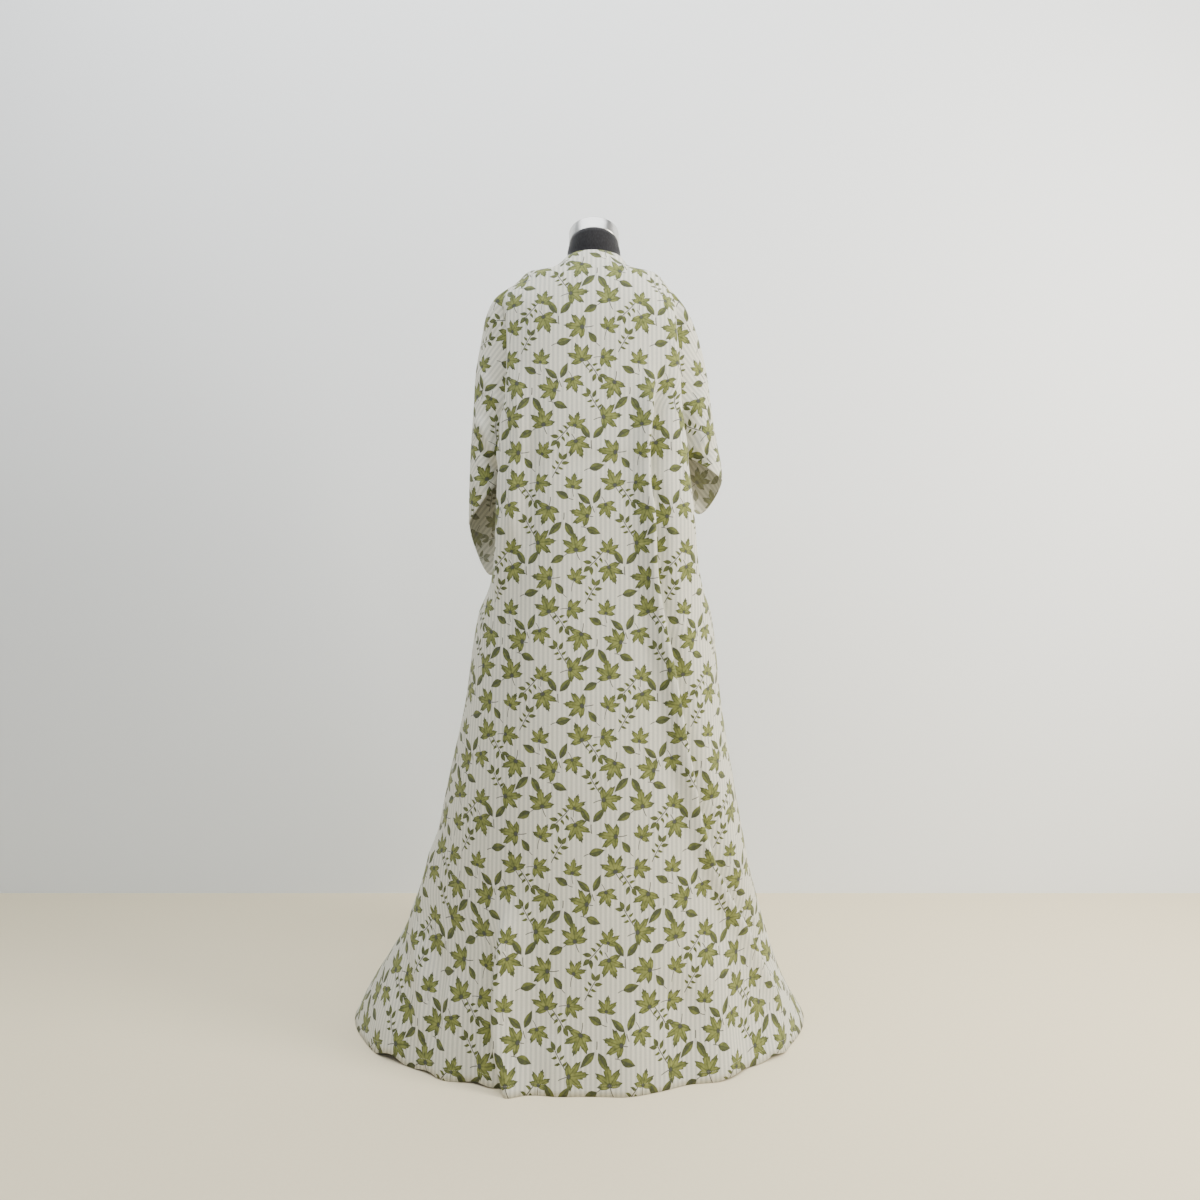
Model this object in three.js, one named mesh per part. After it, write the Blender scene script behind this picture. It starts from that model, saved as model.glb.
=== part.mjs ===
// A kimono-cut maxi dress on a limbless dress form.
// Millimetres, +Z up. The floor is z = 0 and the pole stands on the origin. The dress's back
// faces -Y, its front +Y, and the wearer's right is +X.
import * as THREE from 'three';

// ---------------------------------------------------------------- driving dimensions
const CLOTH_WALL = 1.6;
const SEAM_GAP = 0.3;
const SEAT_GAP = 0.3;
const MITRE_LIMIT = 0.6;     // keeps the wall's inner side near its outer side in sharp valleys

const YOKE_ROWS = 14;        // from the neckline to the underarm points
const SKIRT_ROWS = 22;       // from the underarm points to the hem
const ROW_CROWDING = 1.15;   // crowds the skirt's rows a little towards the underarms
const CUFF_ROWS = 5;         // from the underarm points to the cuffs
const BODY_COLUMNS = 16;     // from a centre line to a valley or side seam
const SLEEVE_COLUMNS = 6;    // from a valley or underarm seam to the overarm seam

const VALLEY_FROM = THREE.MathUtils.degToRad(46);  // the turn at which a panel starts to turn in
const SLEEVE_FLARE = 0.5;    // lean of the sleeve's body side, out from the underarm, per depth
const DIP_LEAN = 0.45;       // how far the front cuff's lowest point lies towards the body
const SLIT_LENGTH = 130;
const SLIT_WIDTH = 1.4;

const BUTTON_RADIUS = 5.5;
const BUTTON_HEIGHT = 3;
const BUTTON_ASIDE = 9;      // from the centre front
const BUTTON_DOWN = 10;      // from the neckline
const LOOP_THICK = 1.5;
const FASTENING_CLEARANCE = 0.7;

const PLATE_RADIUS = 160;
const PLATE_HEIGHT = 8;
const POLE_RADIUS = 14;
const TORSO_BOTTOM = 800;
const CAP_RADIUS = 49;
const CAP_HEIGHT = 28;
const CAP_DOME = 5;
const NECK_TOP = { z: 1545, slope: 0.375 };  // height on the axis, and its fall towards the front

// The dress from the neckline to the underarm points. along: distance down the overarm seam;
// back, front: depth of the centre lines and their heights; left, right: the overarm seam;
// bodyLeft, bodyRight: half width that each panel's arc would reach; square: its squareness;
// valley: the turn, in degrees, at which the panel meets the sleeve; pinch: how far the valley
// is drawn in; sleeve: 0 while the ring is one round, 1 once the sleeve hangs beside the body;
// thick: half the sleeve's depth.
const YOKE = [
  { along: 0, back: 57, backZ: 1518, front: 61, frontZ: 1500, left: 57, leftZ: 1517,
    right: 57, rightZ: 1516, bodyLeft: 57, bodyRight: 57, square: 2, valley: 66, pinch: 0,
    sleeve: 0, thick: 30 },
  { along: 30, back: 70, backZ: 1502, front: 74, frontZ: 1483, left: 79, leftZ: 1496,
    right: 77, rightZ: 1490, bodyLeft: 79, bodyRight: 77, square: 2, valley: 66, pinch: 0,
    sleeve: 0, thick: 36 },
  { along: 52, back: 79, backZ: 1487, front: 83, frontZ: 1468, left: 100, leftZ: 1488,
    right: 99, rightZ: 1486, bodyLeft: 100, bodyRight: 99, square: 2.1, valley: 66, pinch: 0,
    sleeve: 0, thick: 40 },
  { along: 83, back: 90, backZ: 1463, front: 95, frontZ: 1446, left: 131, leftZ: 1484,
    right: 124, rightZ: 1481, bodyLeft: 131, bodyRight: 124, square: 2.2, valley: 66, pinch: 0,
    sleeve: 0, thick: 44 },
  { along: 110, back: 98, backZ: 1441, front: 104, frontZ: 1425, left: 153, leftZ: 1466,
    right: 143, rightZ: 1463, bodyLeft: 153, bodyRight: 143, square: 2.3, valley: 66, pinch: 0,
    sleeve: 0, thick: 46 },
  { along: 161, back: 108, backZ: 1396, front: 117, frontZ: 1380, left: 193, leftZ: 1437,
    right: 171, rightZ: 1429, bodyLeft: 190, bodyRight: 169, square: 2.5, valley: 66, pinch: 0.01,
    sleeve: 0.1, thick: 50 },
  { along: 198, back: 112, backZ: 1359, front: 124, frontZ: 1345, left: 212, leftZ: 1405,
    right: 190, rightZ: 1402, bodyLeft: 197, bodyRight: 183, square: 2.6, valley: 66, pinch: 0.04,
    sleeve: 0.6, thick: 51 },
  { along: 247, back: 116, backZ: 1312, front: 129, frontZ: 1300, left: 223, leftZ: 1357,
    right: 207, rightZ: 1360, bodyLeft: 199, bodyRight: 191, square: 2.7, valley: 65, pinch: 0.08,
    sleeve: 1, thick: 50 },
  { along: 308, back: 121, backZ: 1256, front: 133, frontZ: 1248, left: 234, leftZ: 1297,
    right: 223, rightZ: 1297, bodyLeft: 200, bodyRight: 194, square: 2.8, valley: 66, pinch: 0.1,
    sleeve: 1, thick: 48 },
  { along: 379, back: 126, backZ: 1195, front: 137, frontZ: 1191, left: 239, leftZ: 1226,
    right: 233, rightZ: 1226, bodyLeft: 202, bodyRight: 198, square: 2.8, valley: 73, pinch: 0.13,
    sleeve: 1, thick: 46 },
  { along: 459, back: 131, backZ: 1132, front: 141, frontZ: 1132, left: 245, leftZ: 1146,
    right: 247, rightZ: 1146, bodyLeft: 204, bodyRight: 206, square: 2.8, valley: 90, pinch: 0.18,
    sleeve: 1, thick: 44 },
];

// The body from the underarm points to the hem, by height.
const SKIRT = [
  { z: 0, left: 488, right: 428, back: 288, front: 322, square: 1.9, pinch: 0 },
  { z: 60, left: 459, right: 394, back: 273, front: 312, square: 1.95, pinch: 0 },
  { z: 116, left: 424, right: 370, back: 259, front: 302, square: 2, pinch: 0 },
  { z: 213, left: 366, right: 340, back: 240, front: 284, square: 2.1, pinch: 0 },
  { z: 315, left: 332, right: 313, back: 222, front: 263, square: 2.2, pinch: 0 },
  { z: 490, left: 292, right: 280, back: 197, front: 231, square: 2.3, pinch: 0 },
  { z: 632, left: 260, right: 256, back: 179, front: 205, square: 2.4, pinch: 0 },
  { z: 820, left: 229, right: 234, back: 157, front: 173, square: 2.5, pinch: 0 },
  { z: 880, left: 219, right: 229, back: 151, front: 165, square: 2.6, pinch: 0.08 },
  { z: 930, left: 214, right: 226, back: 147, front: 159, square: 2.7, pinch: 0.16 },
  { z: 1000, left: 209, right: 222, back: 142, front: 152, square: 2.8, pinch: 0.22 },
  { z: 1060, left: 206, right: 215, back: 137, front: 147, square: 2.8, pinch: 0.23 },
  { z: 1110, left: 205, right: 209, back: 133, front: 143, square: 2.8, pinch: 0.21 },
  { z: 1139, left: 204, right: 206, back: 131, front: 141, square: 2.8, pinch: 0.18 },
];

// The cuff openings. outer, inner: the overarm corner and the underarm end; thick: half depth;
// dip: how much lower the front layer hangs than the back one.
const CUFFS = {
  left: { outer: 250, outerZ: 997, inner: 181, innerZ: 1088, thick: 40, dip: 146 },
  right: { outer: 256, outerZ: 1084, inner: 184, innerZ: 1130, thick: 42, dip: 86 },
};

// Folds that run down the cloth. A step lifts the cloth on one side of its line and sinks it on
// the other, and a ridge lifts it on the line. route: x of the line by height, top first.
const FOLDS = [
  { kind: 'step', face: 'back', lift: 9, width: 15,
    route: [{ z: 1110, x: 114 }, { z: 814, x: 141 }, { z: 595, x: 175 }, { z: 426, x: 203 },
      { z: 270, x: 253 }, { z: 108, x: 338 }, { z: 0, x: 372 }] },
  { kind: 'ridge', face: 'back', lift: 14, width: 22,
    route: [{ z: 300, x: -172 }, { z: 88, x: -170 }, { z: 0, x: -146 }] },
  { kind: 'ridge', face: 'back', lift: 6, width: 14,
    route: [{ z: 1290, x: -150 }, { z: 1080, x: -158 }, { z: 880, x: -166 }] },
  { kind: 'ridge', face: 'back', lift: 8, width: 30,
    route: [{ z: 260, x: 196 }, { z: 0, x: 246 }] },
  { kind: 'ridge', face: 'back', lift: 8, width: 30,
    route: [{ z: 330, x: -330 }, { z: 0, x: -392 }] },
  { kind: 'ridge', face: 'front', lift: 13, width: 28,
    route: [{ z: 980, x: 96 }, { z: 560, x: 128 }, { z: 0, x: 205 }] },
  { kind: 'ridge', face: 'front', lift: 14, width: 30,
    route: [{ z: 930, x: -88 }, { z: 520, x: -122 }, { z: 0, x: -186 }] },
  { kind: 'step', face: 'front', lift: 8, width: 18,
    route: [{ z: 700, x: 22 }, { z: 300, x: 14 }, { z: 0, x: 30 }] },
];
const FOLD_FADE = 90;   // length over which a fold grows from its top end

// The form's torso, from the neck to the bottom, in the dress's terms. side, sideZ: half width
// and the height at which it is reached; back, front: depths, with the heights of those points.
const TORSO = [
  { side: 48, sideZ: 1545, back: 48, backZ: 1563, front: 48, frontZ: 1527, square: 2 },
  { side: 52, sideZ: 1530, back: 51, backZ: 1536, front: 53, frontZ: 1515, square: 2 },
  { side: 53.6, sideZ: 1516, back: 53.4, backZ: 1517, front: 57.4, frontZ: 1500, square: 2 },
  { side: 66, sideZ: 1489.5, back: 64, backZ: 1492, front: 69, frontZ: 1481, square: 2 },
  { side: 96, sideZ: 1481.5, back: 80, backZ: 1462, front: 85, frontZ: 1450, square: 2.1 },
  { side: 128, sideZ: 1470, back: 92, backZ: 1425, front: 98, frontZ: 1414, square: 2.3 },
  { side: 150, sideZ: 1444, back: 99, backZ: 1388, front: 108, frontZ: 1375, square: 2.4 },
  { side: 161, sideZ: 1410, back: 103, backZ: 1350, front: 114, frontZ: 1338, square: 2.4 },
  { side: 160, sideZ: 1362, back: 104, backZ: 1312, front: 118, frontZ: 1300, square: 2.3 },
  { side: 151, sideZ: 1300, back: 102, backZ: 1262, front: 119, frontZ: 1255, square: 2.2 },
  { side: 141, sideZ: 1230, back: 97, backZ: 1205, front: 112, frontZ: 1205, square: 2.2 },
  { side: 125, sideZ: 1155, back: 88, backZ: 1145, front: 96, frontZ: 1145, square: 2.1 },
  { side: 117, sideZ: 1085, back: 84, backZ: 1085, front: 89, frontZ: 1085, square: 2.1 },
  { side: 131, sideZ: 1005, back: 98, backZ: 1005, front: 96, frontZ: 1005, square: 2.1 },
  { side: 150, sideZ: 925, back: 116, backZ: 925, front: 104, frontZ: 925, square: 2.2 },
  { side: 158, sideZ: 855, back: 121, backZ: 855, front: 106, frontZ: 855, square: 2.2 },
  { side: 158, sideZ: 806, back: 120, backZ: 806, front: 105, frontZ: 806, square: 2.2 },
  { side: 152, sideZ: 800, back: 114, backZ: 800, front: 99, frontZ: 800, square: 2.2 },
];
const TORSO_COLUMNS = 40;

// ---------------------------------------------------------------- materials
const finish = (color, roughness, metalness = 0) =>
  new THREE.MeshStandardMaterial({ color, roughness, metalness });
const printedCotton = () => finish('#c9c8bd', 0.85);
const blackJersey = () => finish('#0c0c0d', 0.9);
const brushedSteel = () => finish('#b9bbbd', 0.3, 1);
const greySteel = () => finish('#3a3b3d', 0.45, 0.9);
const hornButton = () => finish('#d8d2c2', 0.4);

// ---------------------------------------------------------------- small helpers
const mix = (a, b, t) => a + (b - a) * t;
const smooth = (t) => {
  const s = Math.min(1, Math.max(0, t));
  return s * s * (3 - 2 * s);
};

// Reads one column of a table between its rows, smoothly, as a function of another column.
function track(table, key, column) {
  const rows = [...table].sort((a, b) => a[key] - b[key]);
  const slope = (i) => {
    const low = rows[Math.max(0, i - 1)];
    const high = rows[Math.min(rows.length - 1, i + 1)];
    return (high[column] - low[column]) / (high[key] - low[key]);
  };
  return (value) => {
    const at = Math.min(rows[rows.length - 1][key], Math.max(rows[0][key], value));
    const next = Math.max(1, rows.findIndex((row) => row[key] >= at));
    const [low, high] = [rows[next - 1], rows[next]];
    const span = high[key] - low[key];
    const t = (at - low[key]) / span;
    return (2 * t ** 3 - 3 * t ** 2 + 1) * low[column] + (t ** 3 - 2 * t ** 2 + t) * span * slope(next - 1)
      + (3 * t ** 2 - 2 * t ** 3) * high[column] + (t ** 3 - t ** 2) * span * slope(next);
  };
}

const tracksOf = (table, key) => Object.fromEntries(
  Object.keys(table[0]).map((column) => [column, track(table, key, column)]),
);
const yoke = tracksOf(YOKE, 'along');
const skirt = tracksOf(SKIRT, 'z');
const foldRoutes = FOLDS.map((fold) => track(fold.route, 'z', 'x'));

// A point of a rounded section: turn 0 lies on the centre line, a right angle at the side.
function roundPoint(half, depth, square, turn) {
  const across = Math.abs(Math.sin(turn));
  const along = Math.abs(Math.cos(turn));
  const reach = (across ** square + along ** square) ** (-1 / square);
  return [half * reach * across, depth * reach * Math.cos(turn)];
}

// A point of a panel between its centre line (share 0) and its valley or side seam (share 1).
function panelPoint({ half, depth, square, pinch, valley }, share) {
  const turn = share * valley;
  const [x, y] = roundPoint(half, depth, square, turn);
  const drawnIn = 1 - pinch * smooth((turn - VALLEY_FROM) / (valley - VALLEY_FROM));
  return [x * drawnIn, y];
}

// ---------------------------------------------------------------- the dress's surface
const SIDES = { left: -1, right: 1 };
const FACES = { back: -1, front: 1 };
const overarmLength = YOKE[YOKE.length - 1].along;

function yokeLevel(along, side, face) {
  return {
    half: yoke[side === 'left' ? 'bodyLeft' : 'bodyRight'](along),
    outer: yoke[side](along),
    outerZ: yoke[`${side}Z`](along),
    depth: yoke[face](along),
    centreZ: yoke[`${face}Z`](along),
    square: yoke.square(along),
    pinch: yoke.pinch(along),
    valley: THREE.MathUtils.degToRad(yoke.valley(along)),
    sleeve: yoke.sleeve(along),
    thick: yoke.thick(along),
  };
}

// The sleeve layer beside the body, from its valley (share 0) to the overarm seam (share 1).
function layerPoint(level, share) {
  const valleyPoint = panelPoint(level, 1);
  const round = roundPoint(level.outer, level.depth, level.square,
    mix(level.valley, Math.PI / 2, share));
  const inner = level.half * (1 - level.pinch);
  const start = Math.asin(Math.min(1, valleyPoint[1] / level.thick));
  const oval = (turn) => {
    const y = level.thick * Math.sin(turn);
    return [mix(inner + SLEEVE_FLARE * y, level.outer, (1 - Math.cos(turn)) / 2), y];
  };
  const hung = oval(mix(start, Math.PI, share));
  const first = oval(start);
  const pull = (1 - share) ** 2;
  return [0, 1].map((i) => mix(round[i], hung[i] + (valleyPoint[i] - first[i]) * pull, level.sleeve));
}

function yokePoint(along, side, face, part, share) {
  const level = yokeLevel(along, side, face);
  const [x, y] = part === 'panel' ? panelPoint(level, share) : layerPoint(level, share);
  const z = mix(level.centreZ, level.outerZ, (x / level.outer) ** 2);
  return new THREE.Vector3(SIDES[side] * x, FACES[face] * y, z);
}

function skirtPoint(fall, side, face, share) {
  const start = yokePoint(overarmLength, side, face, 'panel', share);
  const z = start.z * (1 - fall);
  const level = {
    half: skirt[side](z), depth: skirt[face](z), square: skirt.square(z), pinch: skirt.pinch(z),
    valley: Math.PI / 2,
  };
  const [x, y] = panelPoint(level, share);
  return new THREE.Vector3(SIDES[side] * x, FACES[face] * y, z);
}

function cuffPoint(fall, side, face, share) {
  const start = yokePoint(overarmLength, side, face, 'layer', share);
  const cuff = CUFFS[side];
  const turn = share * Math.PI;
  const x = mix((cuff.outer + cuff.inner) / 2, cuff.outer, -Math.cos(turn));
  const y = cuff.thick * Math.sin(turn);
  const edgeZ = mix(cuff.innerZ, cuff.outerZ, (x - cuff.inner) / (cuff.outer - cuff.inner));
  const hang = Math.sin(turn) ** 1.2 * (1 + DIP_LEAN * Math.cos(turn));
  const dip = face === 'front' ? cuff.dip * hang : 0;
  const spread = Math.sin(fall * Math.PI / 2);
  return new THREE.Vector3(
    mix(start.x, SIDES[side] * x, spread),
    mix(start.y, FACES[face] * y, spread),
    mix(start.z, edgeZ - dip, fall),
  );
}

function surfacePoint(stretch, row, side, face, part, share) {
  if (row > 0 && stretch === 'skirt') {
    return skirtPoint((row / SKIRT_ROWS) ** ROW_CROWDING, side, face, share);
  }
  if (row > 0 && stretch === 'cuff') return cuffPoint(row / CUFF_ROWS, side, face, share);
  const along = stretch === 'yoke' ? overarmLength * row / YOKE_ROWS : overarmLength;
  return yokePoint(along, side, face, part, share);
}

// How far the folds lift the cloth at a point of the given face.
function foldLift(face, point) {
  return FOLDS.reduce((total, fold, i) => {
    const top = fold.route[0].z;
    const grown = smooth((top - point.z) / FOLD_FADE);
    if (fold.face !== face || grown === 0) return total;
    const aside = (point.x - foldRoutes[i](point.z)) / fold.width;
    const bell = Math.exp(-aside * aside / 2);
    return total + fold.lift * grown * (fold.kind === 'step' ? -1.6 * aside * bell : bell);
  }, 0);
}

function folded(point, face) {
  const outward = new THREE.Vector2(point.x, point.y).normalize();
  const lift = foldLift(face, point) * smooth(Math.abs(point.y) / 60);
  return new THREE.Vector3(point.x + outward.x * lift, point.y + outward.y * lift, point.z);
}

// ---------------------------------------------------------------- the dress's grid
// Each grid point has a name, so that neighbouring stretches share it. A name without a face or
// a side is a point on a seam or a centre line. walls holds, for each point, the way from the
// wall's inner side to its outer side.
const grid = { names: new Map(), points: [], walls: [], quads: [] };

function gridPoint(stretch, row, side, face, part, column) {
  const joined = stretch !== 'yoke' && row === 0;
  const place = joined ? `yoke${YOKE_ROWS}` : `${stretch}${row}`;
  const atValley = part === 'panel' ? column === BODY_COLUMNS : column === 0;
  const belowUnderarm = stretch !== 'yoke' || row === YOKE_ROWS;
  const onSeam = (atValley && belowUnderarm) || (part === 'layer' && column === SLEEVE_COLUMNS);
  const onCentre = part === 'panel' && column === 0;
  const spot = atValley && (stretch === 'yoke' || joined) ? 'valley' : `${part}${column}`;
  const name = `${place} ${onCentre ? 'centre' : side} ${onSeam ? 'seam' : face} ${spot}`;
  if (!grid.names.has(name)) {
    const share = column / (part === 'panel' ? BODY_COLUMNS : SLEEVE_COLUMNS);
    const point = surfacePoint(stretch, row, side, face, part, share);
    grid.names.set(name, grid.points.length);
    grid.points.push(part === 'panel' ? folded(point, face) : point);
  }
  return { index: grid.names.get(name), onSeam, slit: isOnSlit(stretch, row, face, onCentre), side };
}

function isOnSlit(stretch, row, face, onCentre) {
  const length = overarmLength * row / YOKE_ROWS;
  return stretch === 'yoke' && face === 'front' && onCentre && length < SLIT_LENGTH;
}

function fillStretch(stretch, rows, part, columns) {
  for (const side of Object.keys(SIDES)) {
    for (const face of Object.keys(FACES)) {
      const outward = SIDES[side] * FACES[face] < 0;
      for (let row = 0; row < rows; row += 1) {
        for (let column = 0; column < columns; column += 1) {
          const corner = (down, across) =>
            gridPoint(stretch, row + down, side, face, part, column + across);
          const ring = [corner(0, 0), corner(1, 0), corner(1, 1), corner(0, 1)];
          grid.quads.push({ face, corners: outward ? ring : ring.reverse() });
        }
      }
    }
  }
}

function buildGrid() {
  fillStretch('yoke', YOKE_ROWS, 'panel', BODY_COLUMNS);
  fillStretch('yoke', YOKE_ROWS, 'layer', SLEEVE_COLUMNS);
  fillStretch('skirt', SKIRT_ROWS, 'panel', BODY_COLUMNS);
  fillStretch('cuff', CUFF_ROWS, 'layer', SLEEVE_COLUMNS);
  const around = grid.points.map(() => []);
  for (const { corners } of grid.quads) {
    const [a, b, c, d] = corners.map(({ index }) => grid.points[index]);
    const normal = c.clone().sub(a).cross(d.clone().sub(b)).normalize();
    corners.forEach(({ index }) => around[index].push(normal));
  }
  const underarms = Object.keys(SIDES).map((side) =>
    gridPoint('yoke', YOKE_ROWS, side, 'back', 'panel', BODY_COLUMNS).index);
  grid.walls = around.map((normals, index) => {
    const mean = normals.reduce((sum, normal) => sum.add(normal), new THREE.Vector3()).normalize();
    if (underarms.includes(index)) mean.set(0, 0, -1);
    const facing = Math.min(...normals.map((normal) => normal.dot(mean)));
    return mean.multiplyScalar(CLOTH_WALL / Math.max(MITRE_LIMIT, facing));
  });
}

// The closed wall of one face of the dress. Its seam edges stand back half a gap, its slit
// edges half the slit's width, and its hem ends on the floor.
function wallOf(face) {
  const quads = grid.quads.filter((quad) => quad.face === face);
  const keyOf = (corner) => `${corner.index}${corner.slit ? corner.side : ''}`;
  const corners = new Map();
  for (const quad of quads) {
    const centre = quad.corners.reduce((sum, { index }) => sum.add(grid.points[index]),
      new THREE.Vector3()).divideScalar(4);
    for (const corner of quad.corners) {
      const key = keyOf(corner);
      if (!corners.has(key)) corners.set(key, { corner, inward: new THREE.Vector3() });
      corners.get(key).inward.add(centre.clone().sub(grid.points[corner.index]));
    }
  }
  const positions = [];
  const slots = new Map();
  for (const [key, { corner, inward }] of corners) {
    const outer = grid.points[corner.index].clone();
    const wall = grid.walls[corner.index];
    if (corner.onSeam) {
      const away = inward.projectOnPlane(wall.clone().normalize()).normalize();
      outer.addScaledVector(away, SEAM_GAP * 0.6);
    }
    if (corner.slit) outer.x += SIDES[corner.side] * SLIT_WIDTH / 2;
    const inner = outer.clone().sub(wall);
    if (grid.points[corner.index].z === 0) [outer.z, inner.z] = [0, 0];
    slots.set(key, positions.length / 3);
    positions.push(...outer.toArray(), ...inner.toArray());
  }
  const faces = [];
  const edges = new Map();
  for (const quad of quads) {
    const [a, b, c, d] = quad.corners.map((corner) => slots.get(keyOf(corner)));
    faces.push(a, b, c, a, c, d, a + 1, c + 1, b + 1, a + 1, d + 1, c + 1);
    for (const [from, to] of [[a, b], [b, c], [c, d], [d, a]]) edges.set(`${from} ${to}`, [from, to]);
  }
  for (const [from, to] of edges.values()) {
    if (!edges.has(`${to} ${from}`)) faces.push(from, to + 1, to, from, from + 1, to + 1);
  }
  return solidOf(positions, faces);
}

function solidOf(positions, faces) {
  const geometry = new THREE.BufferGeometry();
  geometry.setAttribute('position', new THREE.Float32BufferAttribute(positions, 3));
  geometry.setIndex(faces);
  geometry.computeVertexNormals();
  return geometry;
}

// ---------------------------------------------------------------- the neck fastening
// A point of the front just below the neckline, lifted clear of the cloth along its normal.
// aside and down are measured on the cloth, from the centre front and from the neckline.
function frontAt(aside, down, lift) {
  const side = aside < 0 ? 'left' : 'right';
  const at = (along, share) => yokePoint(along, side, 'front', 'panel', share);
  const along = down * 10 / at(0, 0).distanceTo(at(10, 0));
  const share = Math.abs(aside) * 0.1 / at(along, 0).distanceTo(at(along, 0.1));
  const point = at(along, share);
  const lower = at(along + 10, share).sub(point);
  const beside = at(along, share + 0.15).sub(point).multiplyScalar(SIDES[side]);
  const normal = beside.cross(lower).normalize();
  return { point: point.addScaledVector(normal, lift), normal };
}

function neckButton() {
  const outline = [[0, 0], [BUTTON_RADIUS * 0.8, 0], [BUTTON_RADIUS, BUTTON_HEIGHT * 0.4],
    [BUTTON_RADIUS * 0.92, BUTTON_HEIGHT * 0.9], [BUTTON_RADIUS * 0.8, BUTTON_HEIGHT],
    [BUTTON_RADIUS * 0.55, BUTTON_HEIGHT * 0.8], [0, BUTTON_HEIGHT * 0.7]];
  const geometry = new THREE.LatheGeometry(outline.map(([r, h]) => new THREE.Vector2(r, h)), 20);
  const button = new THREE.Mesh(geometry, hornButton());
  const { point, normal } = frontAt(-BUTTON_ASIDE, BUTTON_DOWN, FASTENING_CLEARANCE);
  button.name = 'neck_button';
  button.position.copy(point);
  button.quaternion.setFromUnitVectors(new THREE.Vector3(0, 1, 0), normal);
  return button;
}

// A cord from the other edge of the slit that passes round the button and back.
function neckButtonLoop() {
  const reach = BUTTON_RADIUS + LOOP_THICK;
  const lift = FASTENING_CLEARANCE + LOOP_THICK / 2;
  const end = SLIT_WIDTH + 5;
  const route = [[end, -2.2], [0, -reach * 0.7]];
  for (let step = 0; step <= 6; step += 1) {
    const turn = mix(-0.5, 0.5, step / 6) * Math.PI;
    route.push([-BUTTON_ASIDE - Math.cos(turn) * reach, Math.sin(turn) * reach]);
  }
  route.push([0, reach * 0.7], [end, 2.2]);
  const points = route.map(([aside, below]) => frontAt(aside, BUTTON_DOWN + below, lift).point);
  const section = new THREE.Shape();
  section.absarc(0, 0, LOOP_THICK / 2, 0, Math.PI * 2);
  const geometry = new THREE.ExtrudeGeometry(section, {
    steps: 36, curveSegments: 3, extrudePath: new THREE.CatmullRomCurve3(points), bevelEnabled: false,
  });
  const loop = new THREE.Mesh(geometry, printedCotton());
  loop.name = 'neck_button_loop';
  return loop;
}

// ---------------------------------------------------------------- the form
function torsoGeometry() {
  const positions = [];
  const faces = [];
  for (const ring of TORSO) {
    for (let column = 0; column < TORSO_COLUMNS; column += 1) {
      const turn = (column / TORSO_COLUMNS) * Math.PI * 2;
      const depth = Math.cos(turn) > 0 ? ring.back : ring.front;
      const [x, y] = roundPoint(ring.side, depth, ring.square, turn);
      const backward = y / depth;
      const tilt = (ring.backZ - ring.frontZ) / 2;
      const sag = (ring.backZ + ring.frontZ) / 2 - ring.sideZ;
      const z = ring.sideZ + tilt * backward + sag * backward ** 2;
      positions.push(Math.sin(turn) < 0 ? -x : x, -y, z);
    }
  }
  const top = TORSO[0];
  const bottom = TORSO[TORSO.length - 1];
  for (let row = 0; row < TORSO.length - 1; row += 1) {
    for (let column = 0; column < TORSO_COLUMNS; column += 1) {
      const next = (column + 1) % TORSO_COLUMNS;
      const [a, b] = [row * TORSO_COLUMNS + column, row * TORSO_COLUMNS + next];
      const [c, d] = [b + TORSO_COLUMNS, a + TORSO_COLUMNS];
      faces.push(a, d, c, a, c, b);
    }
  }
  const centres = positions.length / 3;
  positions.push(0, 0, (top.backZ + top.frontZ) / 2, 0, 0, bottom.sideZ);
  const last = (TORSO.length - 1) * TORSO_COLUMNS;
  for (let column = 0; column < TORSO_COLUMNS; column += 1) {
    const next = (column + 1) % TORSO_COLUMNS;
    faces.push(centres, column, next);
    faces.push(centres + 1, last + next, last + column);
  }
  return solidOf(positions, faces);
}

function formTorso() {
  const torso = new THREE.Mesh(torsoGeometry(), blackJersey());
  torso.name = 'form_torso';
  return torso;
}

// A shallow domed disc on the slanted top of the neck.
function formNeckCap() {
  const bevel = 3;
  const outline = [[0, 0], [CAP_RADIUS - bevel, 0], [CAP_RADIUS, bevel],
    [CAP_RADIUS, CAP_HEIGHT - bevel], [CAP_RADIUS - bevel, CAP_HEIGHT],
    [CAP_RADIUS * 0.55, CAP_HEIGHT + CAP_DOME * 0.75], [0, CAP_HEIGHT + CAP_DOME]];
  const geometry = new THREE.LatheGeometry(outline.map(([r, h]) => new THREE.Vector2(r, h)), 40);
  const cap = new THREE.Mesh(geometry, brushedSteel());
  cap.name = 'form_neck_cap';
  const normal = new THREE.Vector3(0, NECK_TOP.slope, 1).normalize();
  cap.position.set(0, 0, NECK_TOP.z).addScaledVector(normal, SEAT_GAP);
  cap.quaternion.setFromUnitVectors(new THREE.Vector3(0, 1, 0), normal);
  return cap;
}

function upright(name, geometry, material, bottom, height) {
  const mesh = new THREE.Mesh(geometry, material);
  mesh.name = name;
  mesh.rotation.x = Math.PI / 2;
  mesh.position.z = bottom + height / 2;
  return mesh;
}

function formPole() {
  const bottom = PLATE_HEIGHT + SEAT_GAP;
  const height = TORSO_BOTTOM - SEAT_GAP - bottom;
  const geometry = new THREE.CylinderGeometry(POLE_RADIUS, POLE_RADIUS, height, 32);
  return upright('form_pole', geometry, greySteel(), bottom, height);
}

function formBasePlate() {
  const bevel = 3;
  const outline = [[0, 0], [PLATE_RADIUS, 0], [PLATE_RADIUS, PLATE_HEIGHT - bevel],
    [PLATE_RADIUS - bevel, PLATE_HEIGHT], [0, PLATE_HEIGHT]];
  const geometry = new THREE.LatheGeometry(outline.map(([r, h]) => new THREE.Vector2(r, h)), 64);
  const plate = new THREE.Mesh(geometry, greySteel());
  plate.name = 'form_base_plate';
  plate.rotation.x = Math.PI / 2;
  return plate;
}

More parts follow.
